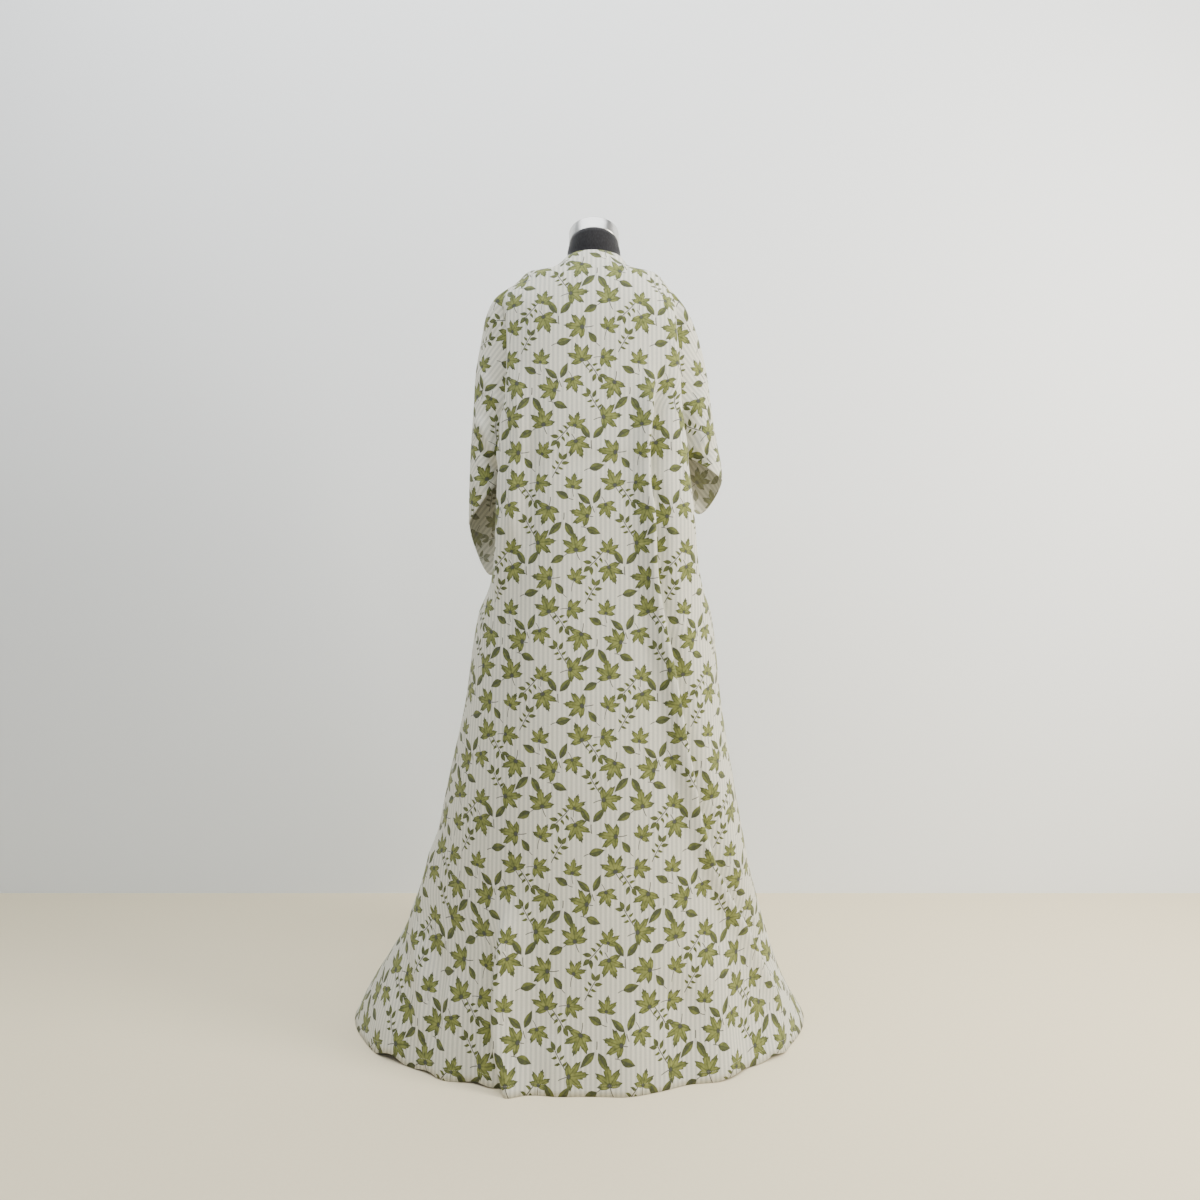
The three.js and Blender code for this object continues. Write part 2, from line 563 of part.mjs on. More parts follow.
// ---------------------------------------------------------------- the whole part
buildGrid();
const part = new THREE.Group();
for (const face of Object.keys(FACES)) {
  const panel = new THREE.Mesh(wallOf(face), printedCotton());
  panel.name = `dress_${face}`;
  part.add(panel);
}
part.add(neckButton(), neckButtonLoop());
part.add(formTorso(), formNeckCap(), formPole(), formBasePlate());

export default part;
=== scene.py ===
"""A kimono-cut maxi dress of leaf-printed cotton, on a limbless dress form with a neck cap."""
import math

import bmesh
import bpy
from mathutils import Matrix, Vector, noise


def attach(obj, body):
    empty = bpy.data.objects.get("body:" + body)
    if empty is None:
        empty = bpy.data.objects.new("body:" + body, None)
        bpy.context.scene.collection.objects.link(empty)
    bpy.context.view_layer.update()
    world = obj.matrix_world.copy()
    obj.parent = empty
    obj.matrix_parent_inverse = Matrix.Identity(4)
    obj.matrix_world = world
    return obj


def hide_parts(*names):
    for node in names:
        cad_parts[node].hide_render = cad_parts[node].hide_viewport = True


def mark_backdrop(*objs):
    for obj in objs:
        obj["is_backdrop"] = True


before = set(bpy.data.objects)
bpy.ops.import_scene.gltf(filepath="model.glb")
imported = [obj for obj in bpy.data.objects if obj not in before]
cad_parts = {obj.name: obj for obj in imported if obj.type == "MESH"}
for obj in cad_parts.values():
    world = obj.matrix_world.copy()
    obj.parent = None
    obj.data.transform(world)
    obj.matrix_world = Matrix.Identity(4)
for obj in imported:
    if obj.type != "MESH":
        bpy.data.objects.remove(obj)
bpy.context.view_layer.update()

bl_info = {
    "name": "Maxi Dress on a Dress Form",
    "version": (1, 0, 0),
    "blender": (4, 5, 0),
    "location": "3D View > Sidebar > Dress",
    "description": "Builds a wide-sleeved maxi dress, its dress form and a small studio",
    "category": "Add Mesh",
}

MM = 0.001

SIDES = {"left": -1, "right": 1}
FACES = {"back": -1, "front": 1}

# ------------------------------------------------------------------ the dress's sections
# Millimetres. along: distance down the overarm seam; back, front, backZ, frontZ: depths and
# heights of the centre lines; left, right, leftZ, rightZ: the overarm seam; bodyLeft, bodyRight:
# half width that each panel's arc would reach; square: squareness; valley: the turn in degrees
# at which the panel meets the sleeve; pinch: how far the valley is drawn in; sleeve: 0 while the
# section is one round, 1 once the sleeve hangs beside the body; thick: half the sleeve's depth.
YOKE_COLUMNS = (
    "along", "back", "backZ", "front", "frontZ", "left", "leftZ", "right", "rightZ",
    "bodyLeft", "bodyRight", "square", "valley", "pinch", "sleeve", "thick",
)
YOKE = [
    (0, 57, 1518, 61, 1500, 57, 1517, 57, 1516, 57, 57, 2, 66, 0, 0, 30),
    (30, 70, 1502, 74, 1483, 79, 1496, 77, 1490, 79, 77, 2, 66, 0, 0, 36),
    (52, 79, 1487, 83, 1468, 100, 1488, 99, 1486, 100, 99, 2.1, 66, 0, 0, 40),
    (83, 90, 1463, 95, 1446, 131, 1487, 124, 1485, 131, 124, 2.2, 66, 0, 0, 44),
    (110, 98, 1441, 104, 1425, 153, 1466, 143, 1463, 153, 143, 2.3, 66, 0, 0, 46),
    (161, 108, 1396, 117, 1380, 193, 1437, 171, 1429, 190, 169, 2.5, 66, 0.03, 0.1, 50),
    (198, 112, 1359, 124, 1345, 212, 1405, 190, 1402, 197, 183, 2.6, 66, 0.09, 0.6, 51),
    (247, 116, 1312, 129, 1300, 223, 1357, 207, 1360, 199, 191, 2.7, 65, 0.14, 1, 50),
    (308, 121, 1256, 133, 1248, 234, 1297, 223, 1297, 200, 194, 2.8, 66, 0.18, 1, 48),
    (379, 126, 1195, 137, 1191, 239, 1226, 233, 1226, 202, 198, 2.8, 73, 0.21, 1, 46),
    (459, 131, 1132, 141, 1132, 245, 1146, 247, 1146, 204, 206, 2.8, 90, 0.26, 1, 44),
]
SKIRT_COLUMNS = ("z", "left", "right", "back", "front", "square", "pinch")
SKIRT = [
    (0, 488, 428, 288, 322, 1.9, 0), (60, 459, 394, 273, 312, 1.95, 0),
    (116, 424, 370, 259, 302, 2, 0), (213, 366, 340, 240, 284, 2.1, 0),
    (315, 332, 313, 222, 263, 2.2, 0), (490, 292, 280, 197, 231, 2.3, 0),
    (632, 260, 256, 179, 205, 2.4, 0), (820, 229, 234, 157, 173, 2.5, 0),
    (880, 219, 229, 151, 165, 2.6, 0.1), (930, 214, 226, 147, 159, 2.7, 0.19),
    (1000, 209, 222, 142, 152, 2.8, 0.26), (1060, 206, 215, 137, 147, 2.8, 0.28),
    (1110, 205, 209, 133, 143, 2.8, 0.28), (1139, 204, 206, 131, 141, 2.8, 0.26),
]
# outer, inner: the overarm corner and the underarm end of a cuff; thick: half depth; dip: how
# much lower the front layer hangs than the back one.
CUFFS = {
    "left": {"outer": 250, "outerZ": 997, "inner": 181, "innerZ": 1088, "thick": 40, "dip": 146},
    "right": {"outer": 256, "outerZ": 1084, "inner": 184, "innerZ": 1130, "thick": 42, "dip": 86},
}
VALLEY_FROM = math.radians(46)
SLEEVE_FLARE = 0.5
DIP_LEAN = 0.45
ROW_CROWDING = 1.15
JOIN_SHARE = 0.05  # share of the skirt over which it eases out of the yoke's last section
SLIT_LENGTH = 130
SLIT_WIDTH = 1.4

# Folds of the cloth. kind: a ridge lifts the cloth on its line, a trough sinks it, and a step
# lifts its left side and sinks its right one; lift and width in millimetres; fade: the length
# over which it grows from its top end and, where it has a bottom end, dies at that one; route:
# (z, x) of its line, top first.
FOLDS = [
    # the long fold of the back
    ("step", "back", 18, 13, 90, [(1290, 120), (1235, 113), (1139, 105), (1076, 105), (1011, 113),
                                  (891, 119), (700, 152), (527, 183), (445, 201), (367, 224),
                                  (282, 264), (221, 297), (133, 336), (50, 366)]),
    ("trough", "back", 12, 15, 90, [(520, 210), (400, 236), (300, 273), (200, 322), (90, 362)]),
    ("ridge", "back", 6, 9, 60, [(830, 108), (700, 131), (560, 156), (470, 176)]),
    # beside the left sleeve
    ("ridge", "back", 8, 10, 80, [(1310, -146), (1243, -142), (1168, -136), (1094, -145),
                                  (930, -152)]),
    ("ridge", "back", 6, 8, 70, [(1250, -170), (1140, -176), (1039, -177), (840, -178)]),
    ("trough", "back", 7, 13, 90, [(1220, -118), (1050, -122), (900, -132)]),
    ("ridge", "back", 4, 12, 90, [(1400, 132), (1320, 150), (1200, 152), (1080, 156)]),
    # the lower left of the back, down to where it rests on the floor
    ("step", "back", -10, 11, 90, [(310, -160), (219, -169), (167, -174), (91, -174), (54, -168),
                                  (0, -152)]),
    ("ridge", "back", 13, 22, 90, [(330, -156), (88, -158), (0, -138)]),
    ("ridge", "back", 11, 13, 60, [(400, -310), (284, -323), (224, -336), (170, -324), (128, -315),
                                  (86, -312), (30, -322)]),
    ("trough", "back", 8, 13, 50, [(230, -292), (150, -288), (80, -292), (20, -300)]),
    ("ridge", "back", 7, 16, 50, [(170, -258), (100, -260), (0, -266)]),
    ("ridge", "back", 8, 26, 90, [(330, -352), (130, -384), (0, -398)]),
    ("trough", "back", 4, 14, 60, [(120, -212), (0, -216)]),
    # the middle and the right of the hem
    ("ridge", "back", 4, 22, 60, [(110, -62), (0, -66)]),
    ("ridge", "back", 5, 26, 60, [(150, 58), (0, 62)]),
    ("trough", "back", 7, 28, 70, [(200, 148), (109, 163), (0, 172)]),
    ("ridge", "back", 8, 26, 90, [(260, 200), (0, 232)]),
    ("trough", "back", 5, 15, 50, [(110, 276), (0, 284)]),
    ("ridge", "back", 7, 13, 45, [(170, 352), (110, 354), (0, 350)]),
    # the sleeves, drawn down into the valleys beside the body
    ("ridge", "back", 7, 8, 30, [(1305, -230), (1262, -207), (1210, -178)]),
    ("ridge", "back", 10, 9, 30, [(1215, -232), (1160, -209), (1108, -180)]),
    ("trough", "back", 8, 8, 30, [(1185, -232), (1132, -209), (1080, -180)]),
    ("ridge", "back", 7, 9, 30, [(1100, -236), (1066, -214), (1010, -190)]),
    ("ridge", "back", 6, 8, 30, [(1275, 224), (1232, 206), (1185, 184)]),
    ("ridge", "back", 8, 9, 30, [(1195, 238), (1158, 216), (1118, 192)]),
    ("trough", "back", 6, 8, 30, [(1170, 238), (1130, 216), (1090, 192)]),
    # the other face
    ("ridge", "front", 13, 28, 90, [(980, 96), (560, 128), (0, 205)]),
    ("ridge", "front", 14, 30, 90, [(930, -88), (520, -122), (0, -186)]),
    ("step", "front", 9, 17, 90, [(700, 22), (300, 14), (0, 30)]),
    ("step", "front", -7, 14, 90, [(1180, -96), (1040, -104), (860, -128), (640, -176),
                                   (400, -236), (180, -300)]),
    ("ridge", "front", 5, 11, 80, [(1300, 148), (1180, 142), (1060, 152), (880, 160)]),
    ("ridge", "front", 4, 10, 80, [(1280, -152), (1120, -160), (940, -158)]),
    ("trough", "front", 4, 13, 90, [(1180, 70), (1020, 76), (880, 90)]),
    ("ridge", "front", 7, 13, 60, [(360, 286), (230, 312), (130, 306), (0, 326)]),
    ("ridge", "front", 6, 15, 60, [(190, -262), (90, -270), (0, -268)]),
    ("trough", "front", 5, 22, 60, [(150, 108), (0, 116)]),
    ("ridge", "front", 4, 20, 60, [(120, -62), (0, -58)]),
    ("ridge", "front", 7, 14, 60, [(220, -352), (110, -366), (0, -360)]),
    ("ridge", "front", 5, 8, 30, [(1235, 226), (1180, 204), (1130, 184)]),
    ("ridge", "front", 6, 8, 30, [(1180, -232), (1120, -210), (1065, -184)]),
    ("trough", "front", 4, 7, 30, [(1275, -228), (1225, -206), (1175, -180)]),
]
# Where the hem lifts off the floor: the face, x, half width and height, in millimetres.
HEM_LIFTS = [
    ("back", -374, 15, 13), ("back", -300, 17, 6), ("back", -206, 20, 5), ("back", 258, 26, 5),
    ("back", 336, 13, 7), ("front", -300, 22, 7), ("front", 84, 26, 5), ("front", 340, 18, 9),
]
HEM_LIFT_REACH = 110
HEM_CLEARANCE = 1  # keeps the inner skin of the shell off the floor
FOLD_REACH = 4  # in widths: how far to its sides a fold is felt
STEP_RISE = 1.6  # brings the two sides of a step to about its lift
FLAT_EDGE = {"panel": 60, "layer": 25}  # the depth over which folds die out towards the side seams
DIP_ROUND = 1.2


def mix(a, b, t):
    """The value a part t of the way from a to b."""
    return a + (b - a) * t


def smooth(t):
    """An even S-curve from 0 to 1."""
    s = min(1.0, max(0.0, t))
    return s * s * (3 - 2 * s)


def track(keys, values):
    """A smooth function through a table's column, held at its ends."""
    rows = sorted(zip(keys, values))
    xs = [row[0] for row in rows]
    ys = [row[1] for row in rows]
    last = len(rows) - 1

    def slope(i):
        low, high = max(0, i - 1), min(last, i + 1)
        return (ys[high] - ys[low]) / (xs[high] - xs[low])

    slopes = [slope(i) for i in range(len(rows))]

    def read(value):
        at = min(xs[-1], max(xs[0], value))
        i = 1
        while i < last and xs[i] < at:
            i += 1
        span = xs[i] - xs[i - 1]
        t = (at - xs[i - 1]) / span
        return (
            (2 * t**3 - 3 * t**2 + 1) * ys[i - 1]
            + (t**3 - 2 * t**2 + t) * span * slopes[i - 1]
            + (3 * t**2 - 2 * t**3) * ys[i]
            + (t**3 - t**2) * span * slopes[i]
        )

    return read


def tracks(table, names):
    """One smooth function for each column of a table, by its first column."""
    columns = list(zip(*table))
    return {name: track(columns[0], column) for name, column in zip(names, columns)}


yoke = tracks(YOKE, YOKE_COLUMNS)
skirt = tracks(SKIRT, SKIRT_COLUMNS)
OVERARM = YOKE[-1][0]


# ------------------------------------------------------------------ the dress's surface
def round_point(half, depth, square, turn):
    """A point of a rounded section: turn 0 lies on the centre line, a right angle at the side."""
    across, ahead = abs(math.sin(turn)), abs(math.cos(turn))
    reach = (across**square + ahead**square) ** (-1 / square)
    return half * reach * across, depth * reach * math.cos(turn)


def panel_point(level, share):
    """A point between a panel's centre line (share 0) and its valley or side seam (share 1)."""
    turn = share * level["valley"]
    x, y = round_point(level["half"], level["depth"], level["square"], turn)
    drawn_in = smooth((turn - VALLEY_FROM) / (level["valley"] - VALLEY_FROM))
    return x * (1 - level["pinch"] * drawn_in), y


def layer_point(level, share):
    """A point of the sleeve layer, from its valley (share 0) to the overarm seam (share 1)."""
    valley = panel_point(level, 1)
    turn = mix(level["valley"], math.pi / 2, share)
    ring = round_point(level["outer"], level["depth"], level["square"], turn)
    inner = level["half"] * (1 - level["pinch"])
    start = math.asin(min(1, valley[1] / level["thick"]))

    def oval(angle):
        y = level["thick"] * math.sin(angle)
        return mix(inner + SLEEVE_FLARE * y, level["outer"], (1 - math.cos(angle)) / 2), y

    hung, first = oval(mix(start, math.pi, share)), oval(start)
    pull = (1 - share) ** 2
    return [
        mix(ring[i], hung[i] + (valley[i] - first[i]) * pull, level["sleeve"]) for i in (0, 1)
    ]


def yoke_level(along, side, face):
    """The section's numbers at a distance down the overarm seam."""
    body = "bodyLeft" if side == "left" else "bodyRight"
    return {
        "half": yoke[body](along),
        "outer": yoke[side](along),
        "outerZ": yoke[side + "Z"](along),
        "depth": yoke[face](along),
        "centreZ": yoke[face + "Z"](along),
        "square": yoke["square"](along),
        "pinch": yoke["pinch"](along),
        "valley": math.radians(yoke["valley"](along)),
        "sleeve": yoke["sleeve"](along),
        "thick": yoke["thick"](along),
    }


def yoke_point(along, side, face, part, share):
    """A point above the underarm, on the panel or on the sleeve layer beside it."""
    level = yoke_level(along, side, face)
    x, y = panel_point(level, share) if part == "panel" else layer_point(level, share)
    z = mix(level["centreZ"], level["outerZ"], (x / level["outer"]) ** 2)
    return Vector((SIDES[side] * x, FACES[face] * y, z))


def skirt_point(fall, side, face, share):
    """A point of the skirt; fall runs from 0 at the underarm to 1 at the hem."""
    start = yoke_point(OVERARM, side, face, "panel", share)
    z = start.z * (1 - fall)
    level = {
        "half": skirt[side](z),
        "depth": skirt[face](z),
        "square": skirt["square"](z),
        "pinch": skirt["pinch"](z),
        "valley": math.pi / 2,
    }
    x, y = panel_point(level, share)
    joined = smooth(fall / JOIN_SHARE)
    return Vector((mix(start.x, SIDES[side] * x, joined), mix(start.y, FACES[face] * y, joined), z))


def cuff_point(fall, side, face, share):
    """A point of the sleeve's lower end; fall runs from 0 to 1 at the cuff."""
    start = yoke_point(OVERARM, side, face, "layer", share)
    cuff = CUFFS[side]
    turn = share * math.pi
    x = mix((cuff["outer"] + cuff["inner"]) / 2, cuff["outer"], -math.cos(turn))
    y = cuff["thick"] * math.sin(turn)
    edge = mix(cuff["innerZ"], cuff["outerZ"], (x - cuff["inner"]) / (cuff["outer"] - cuff["inner"]))
    hang = max(0, math.sin(turn)) ** DIP_ROUND * (1 + DIP_LEAN * math.cos(turn))
    dip = cuff["dip"] * hang if face == "front" else 0
    spread = math.sin(fall * math.pi / 2)
    return Vector((
        mix(start.x, SIDES[side] * x, spread),
        mix(start.y, FACES[face] * y, spread),
        mix(start.z, edge - dip, fall),
    ))


fold_routes = [track(*zip(*fold[-1])) for fold in FOLDS]


def fold_lift(face, point):
    """How far the folds lift the cloth at a point."""
    total = 0
    for (kind, own_face, lift, width, fade, route), line in zip(FOLDS, fold_routes):
        if own_face != face or not route[-1][0] <= point.z <= route[0][0]:
            continue
        aside = (point.x - line(point.z)) / width
        if abs(aside) > FOLD_REACH:
            continue
        grown = smooth((route[0][0] - point.z) / fade)
        if route[-1][0] > 0:
            grown *= smooth((point.z - route[-1][0]) / fade)
        shape = {"ridge": 1, "trough": -1, "step": -STEP_RISE * aside}[kind]
        total += lift * grown * shape * math.exp(-aside * aside / 2)
    return total


def hem_lift(face, point):
    """How far the hem rises off the floor at a point."""
    near = smooth(1 - point.z / HEM_LIFT_REACH)
    return near and near * sum(
        height * math.exp(-(((point.x - x) / width) ** 2) / 2)
        for own_face, x, width, height in HEM_LIFTS if own_face == face
    )


def folded(point, part, face):
    """The point moved by the folds: outward on a panel, straight forward or back on a sleeve."""
    outward = Vector((point.x, point.y)).normalized() if part == "panel" else Vector((0, FACES[face]))
    flat_edge = smooth(abs(point.y) / FLAT_EDGE[part])
    lift = fold_lift(face, point) * flat_edge
    rise = hem_lift(face, point) * flat_edge if part == "panel" else 0
    return Vector((point.x + outward.x * lift, point.y + outward.y * lift, point.z + rise))


# ------------------------------------------------------------------ the cloth shells
PATCHES = [("yoke", "panel"), ("yoke", "layer"), ("skirt", "panel"), ("cuff", "layer")]
ROWS = {"yoke": 62, "skirt": 114, "cuff": 26}
COLUMNS = {"panel": 116, "layer": 22}
SEAM_DIP = 0.8
SEAM_REACH = 0.004
RIPPLES = ((95, 0.45, 1.6), (28, 0.7, 0.35))  # size, its share down the cloth, and lift
RIPPLE_FADE = {"hem": 60, "neck": 60, "side": 30}
RIPPLE_TOP = 1500
PANEL_UNROLL = {"from": 60, "over": 140}
SLEEVE_GRAIN = {"turn": 42, "x": 0.15, "z": 1.46, "from": 60, "over": 120}
SHOULDER_ROLL = {"z": 1.40, "depth": 0.108, "from": 1.38, "over": 0.08}
WELD = 0.00002


def cloth_point(stretch, part, side, face, down, across):
    """A point of the dress, in millimetres, with all its folds; down and across run from 0 to 1."""
    if stretch != "yoke" and down == 0:
        stretch, down = "yoke", 1
    if stretch == "yoke" and part == "layer" and across == 0:
        part, across = "panel", 1
    if stretch == "yoke":
        point = yoke_point(OVERARM * down, side, face, part, across)
    elif stretch == "skirt":
        point = skirt_point(down**ROW_CROWDING, side, face, across)
    else:
        point = cuff_point(down, side, face, across)
    point = rippled(folded(point, part, face))
    point.z = max(point.z, HEM_CLEARANCE)
    in_slit = stretch == "yoke" and face == "front" and across == 0 and part == "panel"
    if in_slit and OVERARM * down < SLIT_LENGTH:
        point.x += SIDES[side] * SLIT_WIDTH / 2
    return point


def rippled(point):
    """Soft unevenness that no single fold gives; it dies out at the hem, neck and side seams."""
    swell = sum(
        noise.noise(Vector((point.x, point.y, point.z * drawn)) / size) * lift
        for size, drawn, lift in RIPPLES
    )
    swell *= smooth(point.z / RIPPLE_FADE["hem"])
    swell *= smooth((RIPPLE_TOP - point.z) / RIPPLE_FADE["neck"])
    swell *= smooth(abs(point.y) / RIPPLE_FADE["side"])
    outward = Vector((point.x, point.y)).normalized()
    return Vector((point.x + outward.x * swell, point.y + outward.y * swell, point.z))


def cloth_patch(stretch, part, side, face):
    """The rows of points of one stretch of one panel, in metres."""
    rows, columns = ROWS[stretch], COLUMNS[part]
    return [
        [
            cloth_point(stretch, part, side, face, row / rows, column / columns) * MM
            for column in range(columns + 1)
        ]
        for row in range(rows + 1)
    ]


def grain_of(stretch, part, side, face, patch):
    """Where each point of a patch lies on the flat cloth, in metres: u across, v up the grain."""
    rows = []
    for index, row in enumerate(patch):
        along = OVERARM * index / ROWS[stretch] if stretch == "yoke" else OVERARM
        out = 0 if part == "panel" else abs(row[0].x)
        flat = []
        for i, point in enumerate(row):
            if i:
                out += (point.xy - row[i - 1].xy).length
            if part == "panel":
                unrolled = smooth((along - PANEL_UNROLL["from"]) / PANEL_UNROLL["over"])
                u = mix(abs(point.x), out, unrolled)
                v = shoulder_height(point)
            else:
                u, v = sleeve_grain(out, point.z, along)
            flat.append((SIDES[side] * -FACES[face] * u, v))
        rows.append(flat)
    return rows


def shoulder_height(point):
    """The height of a point, unrolled where the cloth leans over the shoulder."""
    roll = SHOULDER_ROLL
    rise = math.hypot(max(0, point.z - roll["z"]), max(0, roll["depth"] - abs(point.y)))
    return mix(point.z, roll["z"] + rise, smooth((point.z - roll["from"]) / roll["over"]))


def sleeve_grain(out, height, along):
    """The grain turns with the sleeve as it hangs from the shoulder."""
    grain = SLEEVE_GRAIN
    turn = math.radians(grain["turn"]) * smooth((along - grain["from"]) / grain["over"])
    x, z = out - grain["x"], height - grain["z"]
    u = grain["x"] + x * math.cos(turn) + z * math.sin(turn)
    return u, grain["z"] - x * math.sin(turn) + z * math.cos(turn)


def cloth_shell(face, thickness):
    """One face of the dress as a thin shell, its seam edges turned in a little."""
    mesh = bmesh.new()
    layer = mesh.loops.layers.uv.new("grain")
    for side in SIDES:
        for stretch, part in PATCHES:
            patch = cloth_patch(stretch, part, side, face)
            flat = grain_of(stretch, part, side, face, patch)
            add_patch(mesh, layer, patch, flat, SIDES[side] * FACES[face] < 0)
    bmesh.ops.remove_doubles(mesh, verts=mesh.verts, dist=WELD)
    sink_seams(mesh)
    data = bpy.data.meshes.new("dress_" + face + "_cloth")
    mesh.to_mesh(data)
    mesh.free()
    data.polygons.foreach_set("use_smooth", [True] * len(data.polygons))
    piece = placed(data.name, data, material("leaf_cotton"), material("leaf_cotton_wrong_side"))
    wall = piece.modifiers.new("cloth wall", "SOLIDIFY")
    wall.thickness = thickness
    wall.offset = -1
    wall.use_even_offset = False
    wall.material_offset = 1
    wall.material_offset_rim = 1
    return piece


def add_patch(mesh, layer, patch, flat, outward):
    """Adds a patch's faces, with their places on the flat cloth as UVs."""
    verts = [[mesh.verts.new(point) for point in row] for row in patch]
    for row in range(len(patch) - 1):
        for column in range(len(patch[0]) - 1):
            ring = [(row, column), (row + 1, column), (row + 1, column + 1), (row, column + 1)]
            if not outward:
                ring.reverse()
            made = mesh.faces.new([verts[i][j] for i, j in ring])
            for loop, (i, j) in zip(made.loops, ring):
                loop[layer].uv = flat[i][j]


def sink_seams(mesh):
    """Open edges that meet the other face of the dress turn in, as a pressed seam does."""
    mesh.normal_update()
    edge = {vert for side in mesh.edges if side.is_boundary for vert in side.verts}
    moves = {vert: vert.normal * -SEAM_DIP * MM for vert in edge if abs(vert.co.y) < SEAM_REACH}
    for vert, move in moves.items():
        vert.co += move


# ------------------------------------------------------------------ shader building blocks
class Tree:
    """Short calls for a node tree: each returns the new node's output socket."""

    def __init__(self, tree):
        self.tree = tree

    def node(self, kind, values=(), output=0, **settings):
        """Any node, with its settings and the values or sockets that feed it."""
        node = self.tree.nodes.new(kind)
        for name, value in settings.items():
            setattr(node, name, value)
        keyed = values.items() if isinstance(values, dict) else enumerate(values)
        for key, value in keyed:
            self.feed(node.inputs[key], value)
        return node.outputs[output]

    def feed(self, socket, value):
        """Links a socket to an input, or sets the input's own value."""
        if isinstance(value, bpy.types.NodeSocket):
            self.tree.links.new(value, socket)
        elif value is not None:
            socket.default_value = value

    def math(self, operation, *values):
        """A sum, product or other operation on numbers."""
        return self.node("ShaderNodeMath", values, operation=operation)

    def vector(self, operation, *values, output=0):
        """An operation on vectors."""
        return self.node("ShaderNodeVectorMath", values, output, operation=operation)

    def parts(self, vector):
        """A vector's X and Y."""
        outputs = self.node("ShaderNodeSeparateXYZ", [vector]).node.outputs
        return outputs[0], outputs[1]

    def ramp(self, value, low, high, start=0.0, end=1.0):
        """A soft step of value, from start below low to end above high."""
        return self.node(
            "ShaderNodeMapRange", [value, low, high, start, end], interpolation_type="SMOOTHSTEP"
        )

    def curve(self, value, points):
        """Reads a curve drawn through the points, from 0 to 1."""
        output = self.node("ShaderNodeFloatCurve", {"Value": value})
        line = output.node.mapping.curves[0]
        while len(line.points) < len(points):
            line.points.new(0.5, 0.5)
        for point, place in zip(line.points, points):
            point.location = place
            point.handle_type = "VECTOR"
        output.node.mapping.update()
        return output

    def blend(self, share, first, second, blend_type="MIX"):
        """A colour part of the way from the first to the second."""
        node = self.tree.nodes.new("ShaderNodeMix")
        node.data_type = "RGBA"
        node.blend_type = blend_type
        self.feed(node.inputs[0], share)
        self.feed(node.inputs[6], first)
        self.feed(node.inputs[7], second)
        return node.outputs[2]

    def stops(self, value, colours, interpolation="LINEAR"):
        """A colour ramp with a colour at each place from 0 to 1, the first one at 0."""
        output = self.node("ShaderNodeValToRGB", [value])
        ramp = output.node.color_ramp
        ramp.interpolation = interpolation
        ramp.elements.remove(ramp.elements[1])
        for index, (place, colour) in enumerate(colours):
            stop = ramp.elements.new(place) if index else ramp.elements[0]
            stop.color = (*colour, 1)
        return output

    def group(self, name, **values):
        """The outputs of a node group, which is built the first time it is asked for."""
        node = self.tree.nodes.new("ShaderNodeGroup")
        node.node_tree = bpy.data.node_groups.get(name) or shader_group(name, *GROUPS[name])
        for label, value in values.items():
            self.feed(node.inputs[label], value)
        return node.outputs


def shader_group(name, inputs, outputs, build):
    """Builds a shader node group from the kinds of its inputs and outputs."""
    tree = bpy.data.node_groups.new(name, "ShaderNodeTree")
    for way, sockets in (("INPUT", inputs), ("OUTPUT", outputs)):
        for label, kind in sockets.items():
            tree.interface.new_socket(label, in_out=way, socket_type=kind)
    given = tree.nodes.new("NodeGroupInput").outputs
    results = build(Tree(tree), given)
    sink = tree.nodes.new("NodeGroupOutput")
    for socket, result in zip(sink.inputs, results):
        tree.links.new(result, socket)
    return tree


# ------------------------------------------------------------------ the leaf print
# The repeat is laid out in two layers of cells, leaves in one and smaller motifs in the other,
# half a cell apart. Each repeat above starts one cell further along.
CELL = {"width": 0.061, "height": 0.058, "columns": 3, "rows": 4}
LEAF_EDGE = 0.03
FOOT_TO_MIDDLE = 0.42
STEM_CORE, STEM_EDGE = 0.01, 0.035  # half widths of the drawn stem
DARKEST_TONE = 0.1
WASH_SCALE = 110
CHART_REACH = 30  # millimetres: the range of the charts' x and y
CHART_LENGTH = 50  # millimetres: the longest motif that a chart can hold

# Outlines by turn, as shares of a half turn from the tip to the stem, and of the leaf's length.
MAPLE_OUTLINE = [
    (0.0, 1.06), (0.02, 0.92), (0.045, 0.9), (0.06, 0.74), (0.09, 0.75), (0.12, 0.48),
    (0.15, 0.62), (0.18, 0.68), (0.205, 0.8), (0.24, 0.95), (0.262, 0.8), (0.3, 0.78),
    (0.32, 0.6), (0.36, 0.4), (0.4, 0.5), (0.44, 0.54), (0.49, 0.68), (0.53, 0.55),
    (0.58, 0.5), (0.64, 0.34), (0.7, 0.26), (0.8, 0.16), (1.0, 0.06),
]
MAPLE_VEINS = [
    (0.0, 0.0), (0.125, 0.4), (0.25, 0.0), (0.37, 0.4), (0.5, 0.0), (0.75, 0.6), (1.0, 1.0),
]
OVAL_OUTLINE = [
    (0.0, 0.0), (0.08, 0.34), (0.25, 0.86), (0.42, 1.0), (0.62, 0.84), (0.82, 0.42), (1.0, 0.0),
]

